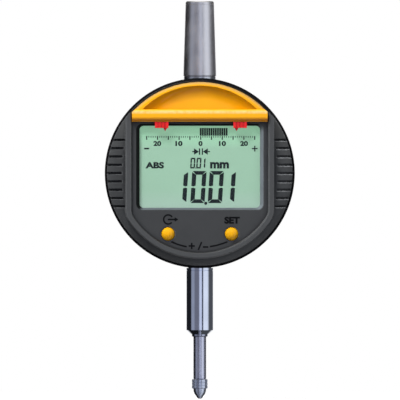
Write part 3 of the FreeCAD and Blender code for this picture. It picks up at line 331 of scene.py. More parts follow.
@dataclass(frozen=True)
class Moulded(Finish):
    """Moulded plastic or rubber, with a fine grain, edges that handling makes pale, and painted
    shade in its hollows.
    """

    colour: Colour
    roughness: float
    grain: float = 0.12
    grain_depth: float = 0.004
    mottle: float = 6.0
    mottling: float = 0.06
    scuff: float = 1.2
    wear: float = 0.25
    wear_width: float = 0.3
    wear_lift: float = 1.8
    hollow: float = 0.0
    hollow_reach: float = 9.0
    hollow_shade: float = 0.3
    coat: float = 0.0
    shine: float = 0.4

    def base(self, sheet: Sheet) -> Socket:
        """Clouds the colour, and paints shade where the surface is closed in.

        Args:
            sheet: The material's sheet.

        Returns:
            The clouded colour.
        """
        clouded = sheet.clouded(sheet.noise(self.mottle, 3.0), self.colour, self.mottling)
        if not self.hollow:
            return clouded
        # Painted shade: darker where ambient occlusion finds the surface closed in.
        depth = sheet.between(sheet.openness(self.hollow_reach), 0.45, 0.95, self.hollow, 0.0)
        return sheet.mix(depth, clouded, shaded(self.colour, self.hollow_shade))

    def rubbed(self, sheet: Sheet) -> Socket:
        """Finds the edges, which handling turns pale."""
        return sheet.edges(self.wear_width)

    def pale(self) -> Colour:
        """Gives the pale colour: of edges turned pale by handling here, or of a painted highlight
        in a subclass.
        """
        return shaded(self.colour, self.wear_lift)

    def matted(self, sheet: Sheet, rough: Socket) -> Socket:
        """Gives the roughness once the matt places are in it."""
        return rough

    def paint(self, sheet: Sheet) -> None:
        """Paints the plastic.

        Args:
            sheet: The material's sheet.
        """
        grain = sheet.noise(self.grain)
        patchiness = sheet.between(sheet.noise(self.scuff, 3.0), 0.3, 0.6, 0.4)
        # The pale share: edges turned pale by handling here, painted highlights where a subclass
        # finds them.
        wear_and_highlight_share = sheet.product(self.rubbed(sheet), patchiness, self.wear)
        sheet.set("Base Color", sheet.mix(wear_and_highlight_share, self.base(sheet), self.pale()))
        rough = sheet.between(grain, 0.25, 0.75, self.roughness - 0.05, self.roughness + 0.07)
        rough = sheet.maths("SUBTRACT", rough, sheet.product(wear_and_highlight_share, 0.25))
        sheet.set("Roughness", self.matted(sheet, rough))
        sheet.set("Specular IOR Level", self.shine)
        sheet.set("Coat Weight", self.coat)
        sheet.set("Coat Roughness", 0.12)
        sheet.bump(grain, self.grain_depth)


@dataclass(frozen=True)
class Coated(Moulded):
    """Case coat, with painted shade that makes the lip facing front nearly black."""

    def base(self, sheet: Sheet) -> Socket:
        """Paints shade on the lip that faces front."""
        front = sheet.between(sheet.facing(Y), -0.1, -0.5)
        return sheet.mix(front, super().base(sheet), shaded(self.colour, 0.2))


@dataclass(frozen=True)
class Rimmed(Moulded):
    """Moulded plastic of the round head, with painted shade making its rim nearly black, and matt
    along its rim.
    """

    rim: float = 27.4
    rim_top: float = 26.8
    rim_back: float = -12.0
    middle: float = 37.425
    top: float = 18.0

    def face(self, sheet: Sheet) -> Socket:
        """Gives the colour inside the rim."""
        return super().base(sheet)

    def base(self, sheet: Sheet) -> Socket:
        """Paints shade along the rim, darkening it to nearly black."""
        return sheet.mix(self.outside(sheet), self.face(sheet), shaded(self.colour, 0.06))

    def matted(self, sheet: Sheet, rough: Socket) -> Socket:
        """Makes the rim matt."""
        return sheet.between(self.outside(sheet), 0.0, 1.0, rough, 1.0)

    def outside(self, sheet: Sheet) -> Socket:
        """Finds the rim, which reaches further in at the top.

        Args:
            sheet: The material's sheet.

        Returns:
            Nearly one along the rim and zero inside it.
        """
        top, back = self.middle + self.top, self.rim_back
        rim = sheet.between(sheet.where(Z), top - 1.0, top + 1.0, self.rim, self.rim_top)
        over = sheet.maths("SUBTRACT", self.away(sheet), rim)
        front = sheet.between(sheet.where(Y), back + 0.3, back, 0.0, 0.95)
        return sheet.product(sheet.between(over, 0.0, 0.2), front)

    def away(self, sheet: Sheet) -> Socket:
        """Gives the distance from the middle of the face, in millimetres."""
        given = {0: sheet.place((METRE, 0.0, METRE)), 1: (0.0, 0.0, self.middle)}
        return sheet.add("ShaderNodeVectorMath", given, operation="DISTANCE").outputs["Value"]


@dataclass(frozen=True)
class Glossed(Rimmed):
    """Moulded plastic of the cap, with painted light: a paler tone on its rim and a highlight
    streak along its bar, and shade in its scoop and under its bar.
    """

    bleached: Colour = WHITE
    dull: Colour = WHITE
    deep: Colour = WHITE
    rim_land: float = -15.8
    rim_crest: float = -16.1
    bar_depth: float = -17.1
    streak: float = 18.05
    streak_core: float = 0.15
    streak_half: float = 0.65

    def face(self, sheet: Sheet) -> Socket:
        """Paints a paler highlight tone on the rim where it faces up, and paints shade in the
        scoop and under the bar.

        Args:
            sheet: The material's sheet.

        Returns:
            The colour.
        """
        up, bar = sheet.facing(Z), self.on_bar(sheet)
        beside = sheet.maths("SUBTRACT", 1.0, bar)
        crest = sheet.between(sheet.where(Y), self.rim_land, self.rim_crest)
        # Painted shade: the bar's underside, where it faces down, takes the deep colour, a darker
        # orange.
        under = sheet.product(sheet.between(up, -0.1, -0.6), bar)
        # Painted highlight: the rim's crest, where it faces up, takes a paler and duller tone.
        rise = sheet.product(sheet.between(up, 0.1, 0.6), crest, beside)
        # Painted shade: the scoop darkens where it faces down.
        scoop = sheet.product(sheet.between(up, -0.3, -0.75, 0.0, 0.55), beside)
        plain = sheet.mix(scoop, super().face(sheet), shaded(self.colour, 0.3))
        return sheet.mix(under, sheet.mix(rise, plain, self.dull), self.deep)

    def on_bar(self, sheet: Sheet) -> Socket:
        """Finds the bar, which stands out the most."""
        return sheet.between(sheet.where(Y), self.bar_depth + 0.2, self.bar_depth)

    def rubbed(self, sheet: Sheet) -> Socket:
        """Finds where the painted highlight streak lies.

        Args:
            sheet: The material's sheet.

        Returns:
            One along the upper part of the bar.
        """
        streak = self.middle + self.streak
        off = sheet.maths("ABSOLUTE", sheet.maths("SUBTRACT", sheet.where(Z), streak), 0.0)
        band = sheet.between(off, self.streak_core, self.streak_half, 1.0, 0.0)
        return sheet.product(band, self.on_bar(sheet))

    def pale(self) -> Colour:
        """Gives the colour of the painted highlight streak."""
        return self.bleached


@dataclass(frozen=True)
class Gripped(Rimmed):
    """Moulded plastic of the head's shell, with painted highlights on its crest, crown and grip
    edges, and painted shade at the crest's foot.
    """

    crest: float = -16.35
    polish: float = 1.45
    foot: float = -15.45
    grime: float = 0.15
    crown: float = 25.4
    crown_polish: float = 1.5
    crown_top: float = 6.0
    crown_fade: float = 6.0
    grip: float = 21.8
    proud_reach: float = 1.2

    def face(self, sheet: Sheet) -> Socket:
        """Paints highlights on the crest and the crown, and paints shade along the crest's foot.

        Args:
            sheet: The material's sheet.

        Returns:
            The colour.
        """
        out = sheet.between(sheet.where(Y), self.crest + 0.2, self.crest)
        top = self.middle + self.crown_top
        low = sheet.between(sheet.where(Z), top, top + self.crown_fade, 1.0, 0.0)
        outer = sheet.between(self.away(sheet), self.crown, self.rim - 0.1, 0.0, 0.8)
        # Painted highlight: the crest, which stands out the most, is lightened.
        plain = sheet.mix(out, super().face(sheet), shaded(self.colour, self.polish))
        # Painted highlight: the outer crown is lightened, fading out towards its top.
        crown = shaded(self.colour, self.crown_polish)
        plain = sheet.mix(sheet.product(outer, low), plain, crown)
        # Painted shade along the crest's foot.
        return sheet.mix(self.lee(sheet), plain, shaded(self.colour, self.grime))

    def lee(self, sheet: Sheet) -> Socket:
        """Finds where shade is painted along the crest's foot, where it faces up and to the right.

        Args:
            sheet: The material's sheet.

        Returns:
            How much painted shade there is.
        """
        up, right = sheet.facing(Z), sheet.product(sheet.facing(X), 0.9)
        lean = sheet.maths("ADD", sheet.product(up, 0.8), right)
        return sheet.product(
            sheet.between(lean, -0.25, 0.9, 0.15, 0.95),
            sheet.between(up, 0.1, 0.6),
            sheet.between(sheet.where(Y), self.foot, self.foot - 0.1),
        )

    def rubbed(self, sheet: Sheet) -> Socket:
        """Finds where highlights are painted on the edges.

        That is on its proud edges that face left, and on the right grip on those that face up.

        Args:
            sheet: The material's sheet.

        Returns:
            One where a highlight is painted.
        """
        grip = sheet.between(sheet.where(X), self.grip, self.grip + 0.5)
        plain = sheet.add("ShaderNodeNewGeometry").outputs["Normal"]
        rounded = self.lean(sheet, sheet.rounded(self.wear_width), grip)
        turned = sheet.maths("SUBTRACT", rounded, self.lean(sheet, plain, grip))
        return sheet.product(
            sheet.between(turned, 0.04, 0.25),
            sheet.between(grip, 0.0, 1.0, 0.25),
            sheet.between(sheet.openness(self.proud_reach), 0.6, 0.85),
        )

    def lean(self, sheet: Sheet, facing: Socket, grip: Socket) -> Socket:
        """Finds how far a surface faces left or, on the right grip, up.

        Args:
            sheet: The material's sheet.
            facing: Which way the surface faces.
            grip: One on the right grip.

        Returns:
            How far it faces that way.
        """
        across, up = sheet.axis(facing, X), sheet.axis(facing, Z)
        left = sheet.maths("SUBTRACT", sheet.product(up, 0.4), across)
        return sheet.between(grip, 0.0, 1.0, left, up)


@dataclass(frozen=True)
class Lip(Finish):
    """Moulded lip with painted light: pale where it faces up and to the left, and nearly black as
    painted shade elsewhere.
    """

    pale: Colour
    dark: Colour
    roughness: float

    def paint(self, sheet: Sheet) -> None:
        """Paints the lip.

        Args:
            sheet: The material's sheet.
        """
        # Painted light and shade: pale on the sides that face up and to the left, dark on the
        # others.
        rise = sheet.product(sheet.facing(Z), 0.4)
        side = sheet.maths("SUBTRACT", rise, sheet.facing(X))
        patches = sheet.spread(sheet.noise(4.0, 3.0), 0.85)
        share = sheet.product(sheet.between(side, -0.2, 0.55), patches)
        sheet.set("Base Color", sheet.mix(share, self.dark, self.pale))
        grain = sheet.noise(0.15)
        sheet.set("Roughness", sheet.spread(grain, self.roughness, self.roughness + 0.1))
        sheet.set("Specular IOR Level", 0.15)
        sheet.bump(grain, 0.003)


@dataclass(frozen=True)
class Machined(Finish):
    """Bare metal with the fine marks of the tool that finished it."""

    colour: Colour
    roughness: float
    marks: Marks = Marks.EVEN
    mark_width: float = 0.05
    mark_depth: float = 0.0006
    cloud: float = 5.0
    stain: float = 0.06
    wear: float = 0.3
    wear_width: float = 0.12
    wear_lift: float = 1.25

    def paint(self, sheet: Sheet) -> None:
        """Paints the metal.

        Args:
            sheet: The material's sheet.
        """
        marks = sheet.noise(self.mark_width, 3.0, sheet.place(self.marks.value), 0.6)
        cloud = sheet.noise(self.cloud, 3.0)
        base = sheet.clouded(cloud, self.colour, self.stain)
        bright = sheet.product(sheet.edges(self.wear_width), self.wear)
        sheet.set("Base Color", sheet.mix(bright, base, shaded(self.colour, self.wear_lift)))
        rough = sheet.spread(marks, self.roughness * 0.8, self.roughness * 1.25)
        smear = sheet.between(cloud, 0.35, 0.75, 0.0, self.roughness * 0.3)
        sheet.set("Roughness", sheet.maths("ADD", rough, smear))
        sheet.set("Metallic", 1.0)
        sheet.bump(marks, self.mark_depth)


@dataclass(frozen=True)
class Laminate(Finish):
    """Circuit board: green solder mask over copper tracks."""

    mask: Colour
    cell: float = 3.0
    track_height: float = 0.03

    def paint(self, sheet: Sheet) -> None:
        """Paints the board.

        Args:
            sheet: The material's sheet.
        """
        given = {"Scale": 1 / (self.cell * MM), "Randomness": 0.6, "Vector": sheet.place()}
        cells = sheet.add(
            "ShaderNodeTexVoronoi", given, feature="DISTANCE_TO_EDGE", distance="CHEBYCHEV"
        )
        tracks = sheet.between(cells.outputs[0], 0.06, 0.1, 1.0, 0.0)
        weave = sheet.noise(0.25, 1.0)
        base = sheet.mix(weave, shaded(self.mask, 0.85), shaded(self.mask, 1.1))
        sheet.set("Base Color", sheet.mix(tracks, base, shaded(self.mask, 1.7)))
        sheet.set("Roughness", sheet.between(weave, 0.2, 0.8, 0.28, 0.42))
        sheet.bump(tracks, self.track_height)


@dataclass(frozen=True)
class Graduated(Finish):
    """Glass strip with a fine regular pattern of metal lines."""

    glass: Colour
    line: Colour
    pitch: float = 0.4

    def paint(self, sheet: Sheet) -> None:
        """Paints the strip.

        Args:
            sheet: The material's sheet.
        """
        lines = sheet.between(sheet.bands("Z", self.pitch), 0.45, 0.55)
        sheet.set("Base Color", sheet.mix(lines, self.glass, self.line))
        sheet.set("Metallic", sheet.product(lines, 0.8))
        sheet.set("Roughness", sheet.between(sheet.noise(1.5, 4.0), 0.3, 0.8, 0.06, 0.2))
        sheet.bump(lines, 0.002)


@dataclass(frozen=True)
class Film(Finish):
    """Amber film of a ribbon cable, with its conductors showing through."""

    colour: Colour
    conductor: Colour
    pitch: float = 0.3

    def paint(self, sheet: Sheet) -> None:
        """Paints the film.

        Args:
            sheet: The material's sheet.
        """
        lines = sheet.between(sheet.bands("Y", self.pitch), 0.4, 0.6)
        crinkle = sheet.noise(0.8)
        sheet.set("Base Color", sheet.mix(lines, self.colour, self.conductor))
        sheet.set("Roughness", sheet.spread(crinkle, 0.2, 0.35))
        sheet.bump(crinkle, 0.01)


@dataclass(frozen=True)
class ClearPlastic(Finish):
    """Clear window with a few hairline scratches."""

    tint: Colour
    haze: float
    index: float = 1.49

    def paint(self, sheet: Sheet) -> None:
        """Paints the window.

        Args:
            sheet: The material's sheet.
        """
        hairs = sheet.noise(0.15, 2.0, sheet.place((1.0, 1.0, 0.06)))
        wipes = sheet.noise(9.0, 3.0)
        sheet.set("Base Color", self.tint)
        sheet.set("Roughness", sheet.between(wipes, 0.3, 0.8, 0.02, 0.09))
        sheet.set("Alpha", sheet.between(wipes, 0.2, 0.8, self.haze * 0.9, self.haze * 1.1))
        sheet.set("IOR", self.index)
        sheet.bump(hairs, 0.0004)


@dataclass(frozen=True)
class LiquidCrystal(Finish):
    """Grey-green reflector of the cell, with painted light: lighter at its crown to offset the
    bar's shadow, paler towards its foot, and glowing as if lit from behind.
    """

    crown: Colour
    shoulder: Colour
    belly: Colour
    foot: Colour
    low: float
    high: float
    backlight: float = 0.6

    def paint(self, sheet: Sheet) -> None:
        """Paints the cell's front.

        Args:
            sheet: The material's sheet.
        """
        height = sheet.between(sheet.where(Z), self.low, self.high)
        # Painted light: the crown is lighter to offset the bar's cast shadow, and the foot paler.
        stops = [(0.0, self.foot), (0.22, self.belly), (0.72, self.shoulder), (0.95, self.crown)]
        fibre = sheet.noise(0.2)
        speckle = sheet.spread(fibre, 0.0, 0.06)
        colour = sheet.mix(speckle, sheet.ramp(height, stops), shaded(self.belly, 0.6))
        sheet.set("Base Color", colour)
        # Painted glow: the cell glows in its own colour, though no lamp is behind it.
        sheet.set("Emission Color", colour)
        sheet.set("Emission Strength", self.backlight)
        sheet.set("Roughness", sheet.spread(fibre, 0.35, 0.5))
        sheet.bump(fibre, 0.001)


@dataclass(frozen=True)
class Sweep(Finish):
    """Pale floor with a faint unevenness, white behind the object as it is seen."""

    colour: Colour
    glow: float
    fade_start: float = 60.0
    fade_end: float = 180.0

    def paint(self, sheet: Sheet) -> None:
        """Paints the floor.

        Args:
            sheet: The material's sheet.
        """
        cloud = sheet.noise(60.0, 3.0)
        flat = {0: sheet.place((METRE, METRE, 0.0))}
        reach = sheet.add("ShaderNodeVectorMath", flat, operation="LENGTH").outputs["Value"]
        away = sheet.between(reach, self.fade_start, self.fade_end)
        pale = sheet.mix(cloud, shaded(self.colour, 0.985), self.colour)
        sheet.set("Base Color", sheet.mix(away, pale, (0.0, 0.0, 0.0)))
        sheet.set("Roughness", sheet.spread(cloud, 0.75, 0.9))
        sheet.set("Specular IOR Level", 0.0)
        sheet.set("Emission Color", WHITE)
        glow = sheet.between(away, 0.0, 1.0, self.glow, 1.0)
        sheet.set("Emission Strength", sheet.product(sheet.seen(), glow))
        behind = sheet.add("ShaderNodeNewGeometry").outputs["Backfacing"]
        clear = sheet.add("ShaderNodeBsdfTransparent").outputs[0]
        surface = sheet.blend(behind, sheet.shader.outputs[0], clear)
        sheet.feed(sheet.output.inputs[0], surface)


COVER_COAT = Moulded(
    "satin_cover_coat", from_screen(46, 47, 50), 0.42, grain=0.2, wear=0.4, wear_lift=2.0
)
# The case's coat, with painted shade on its front lip.
CASE_COAT = Coated(
    "black_case_coat",
    from_screen(36, 36, 39),
    0.5,
    grain=0.2,
    mottling=0.12,
    wear=0.1,
    wear_lift=2.0,
    shine=0.06,
)
# The head's shell, with painted highlights on its crest, crown and grip edges, and painted shade
# in its hollows, along its rim and at the crest's foot.
SHELL = Gripped(
    "charcoal_shell",
    from_screen(54, 55, 56),
    0.4,
    wear=1.0,
    wear_width=0.45,
    wear_lift=13.0,
    hollow=0.95,
    hollow_reach=1.5,
    hollow_shade=0.12,
    shine=0.45,
)
# The cap, with painted highlights on its rim and bar, and painted shade in its scoop, under its
# bar and along its rim.
CAP = Glossed(
    "amber_cap",
    from_screen(240, 168, 2),
    0.2,
    grain=0.25,
    grain_depth=0.0015,
    mottling=0.03,
    wear=1.0,
    rim=26.8,
    rim_back=-15.9,
    bleached=from_screen(246, 204, 128),
    dull=from_screen(190, 146, 72),
    deep=from_screen(205, 125, 0),
    hollow=0.25,
    coat=0.5,
    shine=0.1,
)
BUTTON = Moulded(
    "amber_button",
    from_screen(222, 160, 4),
    0.3,
    grain=0.2,
    grain_depth=0.002,
    wear=0.15,
    wear_lift=1.2,
    coat=0.5,
    shine=0.1,
)
MARKER = Moulded(
    "red_marker", from_screen(218, 28, 30), 0.3, grain=0.15, wear=0.2, wear_lift=1.3, coat=0.1
)
RUBBER = Moulded("black_rubber", from_screen(28, 28, 29), 0.75, grain=0.3, grain_depth=0.01)
STRIP_RUBBER = Moulded("layered_rubber", from_screen(180, 150, 146), 0.6, grain=0.1)
CHIP = Moulded("chip_resin", from_screen(30, 30, 33), 0.55, grain=0.08)
CONNECTOR = Moulded("socket_plastic", from_screen(216, 212, 198), 0.45, grain=0.15)
RAIL = Moulded("rail_plastic", from_screen(62, 62, 65), 0.35, grain=0.2, grain_depth=0.002)
# Nearly black signs: painted shade standing in for the shade in the pressed marks.
LEGEND = Moulded("pressed_legend", from_screen(6, 6, 7), 0.4, grain=0.1, wear=0.05, shine=0.15)
# Painted light and shade for the window's bevel.
TRIM = Lip("window_lip", from_screen(110, 118, 123), from_screen(4, 7, 5), 0.5)
INK = Moulded("segment_ink", from_screen(16, 26, 28), 0.4, grain=0.05, grain_depth=0.0005)

STEM_STEEL = Machined(
    "ground_stem", from_screen(226, 230, 240), 0.09, Marks.ROUND_THE_STEM, 0.03, 0.0001
)
SLEEVE_STEEL = Machined(
    "turned_sleeve", from_screen(234, 231, 232), 0.33, Marks.ROUND_THE_STEM, 0.06, 0.0004
)
RING_STEEL = Machined(
    "turned_ring", from_screen(212, 213, 216), 0.24, Marks.ROUND_THE_STEM, 0.05, 0.0006
)
SPINDLE_STEEL = Machined(
    "hardened_spindle", from_screen(216, 216, 230), 0.27, Marks.ROUND_THE_STEM, 0.03, 0.0002
)
CONTACT_STEEL = Machined(
    "knurled_contact", from_screen(214, 218, 228), 0.22, Marks.ROUND_THE_STEM, 0.05, 0.0008
)
BALL = Machined("lapped_ball", from_screen(196, 200, 206), 0.09, Marks.EVEN, 0.08, 0.0001)
BUSH = Machined(
    "turned_bush", from_screen(176, 178, 192), 0.2, Marks.ROUND_THE_STEM, 0.05, 0.0004
)
SCREW = Machined("black_screw", from_screen(92, 94, 98), 0.36, Marks.ROUND_THE_FACE, 0.06)
SPRING = Machined("spring_wire", from_screen(190, 192, 196), 0.25, Marks.EVEN, 0.1)
CARRIER = Machined("milled_carrier", from_screen(208, 210, 214), 0.36, Marks.ALONG_THE_STEM, 0.08)
CONTACT_LEAF = Machined("plated_leaf", from_screen(218, 208, 176), 0.24, Marks.ALONG_THE_STEM, 0.1)
CELL_CAN = Machined("rolled_can", from_screen(208, 210, 214), 0.28, Marks.ROUND_THE_FACE, 0.08)
BOARD = Laminate("green_laminate", from_screen(26, 104, 58))
SCALE = Graduated("ruled_scale", from_screen(120, 138, 132), from_screen(226, 228, 230))
RIBBON = Film("amber_film", from_screen(176, 112, 40), from_screen(196, 140, 84))
WINDOW = ClearPlastic("clear_window", (0.02, 0.025, 0.025), 0.07)
FLOOR = Sweep("pale_floor", (0.4, 0.4, 0.4), 0.74)


def link(name: str, data: bpy.types.ID) -> bpy.types.Object:
    """Puts an object into the scene.

    Args:
        name: Its name.
        data: Its mesh, lamp, camera or letters.

    Returns:
        The object.
    """
    made = bpy.data.objects.new(name, data)
    bpy.context.scene.collection.objects.link(made)
    return made


def finished(build: bmesh.types.BMesh, name: str) -> bpy.types.Mesh:
    """Turns a built shape into a mesh.

    Args:
        build: The shape, which is used up.
        name: The mesh's name.

    Returns:
        The mesh.
    """
    mesh = bpy.data.meshes.new(name)
    build.to_mesh(mesh)
    build.free()
    return mesh


class Workshop:
    """Builds meshes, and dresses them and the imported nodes."""

    def __init__(self, nodes: dict[str, bpy.types.Object]) -> None:
        """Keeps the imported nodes.

        Args:
            nodes: Each node's object by its name.
        """
        self.nodes = nodes
        self.materials: dict[Finish, bpy.types.Material] = {}
        lowest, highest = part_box("display_housing")
        self.middle = (lowest.z + highest.z) / 2

    def material(self, finish: Finish) -> bpy.types.Material:
        """Gives a finish's material, built once.

        Args:
            finish: The finish.

        Returns:
            Its material.
        """
        if finish not in self.materials:
            self.materials[finish] = finish.make()
        return self.materials[finish]

    def dress(self, finish: Finish, *names: str) -> None:
        """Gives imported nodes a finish.

        Args:
            finish: The finish.
            *names: The nodes.
        """
        for name in names:
            for slot in self.nodes[name].material_slots:
                slot.material = self.material(finish)
            log.info("node %s: %s", name, finish.name)

    def on_face(self, x: float, y: float, z: float) -> Vector:
        """Turns a place on the face, in millimetres, into one in the frame."""
        return Vector((x * MM, y * MM, self.middle + z * MM))

    def add(self, name: str, mesh: bpy.types.Mesh, finish: Finish, slot: str = "") -> None:
        """Puts a mesh into the scene as a piece that rides on the display head.

        Args:
            name: The piece's name.
            mesh: Its mesh, in the frame.
            finish: Its finish.
            slot: The name of a slot for its finish; not used.
        """
        piece = link(name, mesh)
        mesh.materials.append(self.material(finish))
        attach(piece, HEAD)
        log.info("piece %s on %s: %d faces", name, HEAD, len(mesh.polygons))

    def band(self, loops: Sequence[tuple[Outline, float]], capped: bool) -> bmesh.types.BMesh:
        """Joins outlines on the face into one closed shape.

        Args:
            loops: Each outline, in order round it, and where it lies along y.
            capped: Whether the first and the last are filled, or else joined to each other.

        Returns:
            The shape.
        """
        build = bmesh.new()
        rings = [[build.verts.new(self.on_face(x, y, z)) for x, z in line] for line, y in loops]
        if capped:
            build.faces.new(rings[0])
            build.faces.new(reversed(rings[-1]))
        following = rings[1:] if capped else rings[1:] + rings[:1]
        for near, far in zip(rings, following):
            for index in range(len(near)):
                after = (index + 1) % len(near)
                build.faces.new((near[after], near[index], far[index], far[after]))
        bmesh.ops.recalc_face_normals(build, faces=build.faces)
        return build

    def prisms(self, outlines: Iterable[Outline], front: float, back: float) -> bpy.types.Mesh:
        """Makes flat pieces from outlines on the face.

        Args:
            outlines: Each outline, in order round it.
            front: Where the front faces are, along y.
            back: Where the back faces are, along y.

        Returns:
            One mesh with every prism in it.
        """
        parts = []
        for outline in outlines:
            build = self.band([(outline, front), (outline, back)], capped=True)
            parts.append(finished(build, "prism"))
        return joined(parts)


def joined(parts: Sequence[bpy.types.Mesh]) -> bpy.types.Mesh:
    """Joins meshes into one.

    Args:
        parts: The meshes, which are used up.

    Returns:
        The mesh.
    """
    build = bmesh.new()
    for part in parts:
        build.from_mesh(part)
        bpy.data.meshes.remove(part)
    return finished(build, "joined")


@dataclass(frozen=True)
class Lettering:
    """Raised or printed letters that fill a given box on the face."""

    text: str
    left: float
    right: float
    bottom: float
    top: float
    weight: float
    weld: float = 0.0001

    def flat(self) -> bpy.types.Mesh:
        """Writes the text one unit deep.

        Returns:
            The letters' mesh, as large as the font makes it.
        """
        curve = bpy.data.curves.new("letters", "FONT")
        curve.body = self.text
        curve.resolution_u = 4
        curve.offset = self.weight
        curve.extrude = 0.5
        holder = link("letters", curve)
        bpy.context.view_layer.update()
        mesh = bpy.data.meshes.new_from_object(holder)
        bpy.data.objects.remove(holder)
        bpy.data.curves.remove(curve)
        return mesh

    def mesh(self, shop: Workshop, front: float, back: float) -> bpy.types.Mesh:
        """Shapes the letters.

        Args:
            shop: Where the face is.
            front: Where their front is, along y.
            back: Where their back is, along y.

        Returns:
            The letters' mesh.
        """
        mesh = self.flat()
        across = [vertex.co.x for vertex in mesh.vertices]
        up = [vertex.co.y for vertex in mesh.vertices]
        wide, tall = max(across) - min(across), max(up) - min(up)
        for vertex in mesh.vertices:
            x = self.left + (vertex.co.x - min(across)) / wide * (self.right - self.left)
            z = self.bottom + (vertex.co.y - min(up)) / tall * (self.top - self.bottom)
            y = front + (0.5 - vertex.co.z) * (back - front)
            vertex.co = shop.on_face(x, y, z)
        tidy = bmesh.new()
        tidy.from_mesh(mesh)
        bmesh.ops.remove_doubles(tidy, verts=tidy.verts, dist=self.weld * MM)
        bmesh.ops.recalc_face_normals(tidy, faces=tidy.faces)
        tidy.to_mesh(mesh)
        tidy.free()
        return mesh


def rectangle(left: float, right: float, bottom: float, top: float) -> Outline:
    """Returns a rectangle's outline."""
    return [(left, bottom), (right, bottom), (right, top), (left, top)]


def disc(x: float, z: float, radius: float, sides: int = 28) -> Outline:
    """Returns a disc's outline."""
    return arc(x, z, radius, 0, 360, sides)[:-1]


def arc(x: float, z: float, radius: float, start: float, end: float, steps: int = 24) -> Outline:
    """Lists points round x and z, from a start to an end in degrees from the right."""
    angles = [math.radians(start + (end - start) * index / steps) for index in range(steps + 1)]
    return [(x + radius * math.cos(angle), z + radius * math.sin(angle)) for angle in angles]


def stroke(line: Sequence[Point], width: float) -> Outline:
    """Gives a line a width.

    Args:
        line: The points along its middle.
        width: Its width.

    Returns:
        The outline round it.
    """
    upper, lower = [], []
    for index, (x, z) in enumerate(line):
        before, after = line[max(index - 1, 0)], line[min(index + 1, len(line) - 1)]
        dx, dz = after[0] - before[0], after[1] - before[1]
        length = math.hypot(dx, dz)
        aside = (-dz / length * width / 2, dx / length * width / 2)
        upper.append((x + aside[0], z + aside[1]))
        lower.append((x - aside[0], z - aside[1]))
    return lower + upper[::-1]


@dataclass(frozen=True)
class SegmentDigits:
    """A row of slanted seven-segment digits with tapered segments."""

    width: float
    height: float
    upright: float
    level: float
    bottom: float
    slant: float
    gap: float
    waist: float

    def segments(self) -> dict[str, Outline]:
        """Outlines the segments of an upright digit, with its middle on x 0.

        Returns:
            Each outline by its segment's letter, a for the top one and then clockwise.
        """
        half, tall, mid = self.width / 2, self.height, self.height / 2
        up, flat, gap, waist = self.upright, self.level, self.gap, self.waist
        top = [
            (-half + gap, tall),
            (-half + up * 0.85 + gap, tall - flat),
            (half - up * 0.85 - gap, tall - flat),
            (half - gap, tall),
        ]
        right = [
            (half, tall - gap - 0.2 * flat),
            (half - up, tall - flat - gap),
            (half - up, mid + waist),
            (half - up * 0.45, mid + waist * 0.35),
            (half, mid + waist * 0.8),
        ]
        below = [(x, tall - z) for x, z in reversed(right)]
        return {
            "a": top,
            "b": right,
            "c": below,
            "d": [(x, tall - z) for x, z in reversed(top)],
            "e": [(-x, z) for x, z in reversed(below)],
            "f": [(-x, z) for x, z in reversed(right)],
        }

    def row(self, figures: Sequence[tuple[str, float]]) -> list[Outline]:
        """Outlines a row of digits.

        Args:
            figures: The letters of the segments that each digit shows, and its middle at
                half height.

        Returns:
            The outlines, slanted and in place.
        """
        segments, lean = self.segments(), self.slant * self.height / 2
        return [
            [(px + x - lean + self.slant * pz, pz + self.bottom) for px, pz in segments[name]]
            for letters, x in figures
            for name in letters
        ]


def cross(x: float, z: float, arm: float, half: float) -> list[Outline]:
    """Outlines a plus sign.

    Args:
        x: Its middle's x.
        z: Its middle's z.
        arm: How far its arms reach.
        half: Half the width of its lines.

    Returns:
        Its level line, and the upright one above and below it.
    """
    return [
        rectangle(x - arm, x + arm, z - half, z + half),
        rectangle(x - half, x + half, z + half, z + arm),
        rectangle(x - half, x + half, z - arm, z - half),
    ]


@dataclass
class Assembly:
    """A sub-assembly, with the workshop that builds and dresses its pieces."""

    shop: Workshop

    def build(self) -> None:
        """Builds and dresses the pieces."""
        raise NotImplementedError


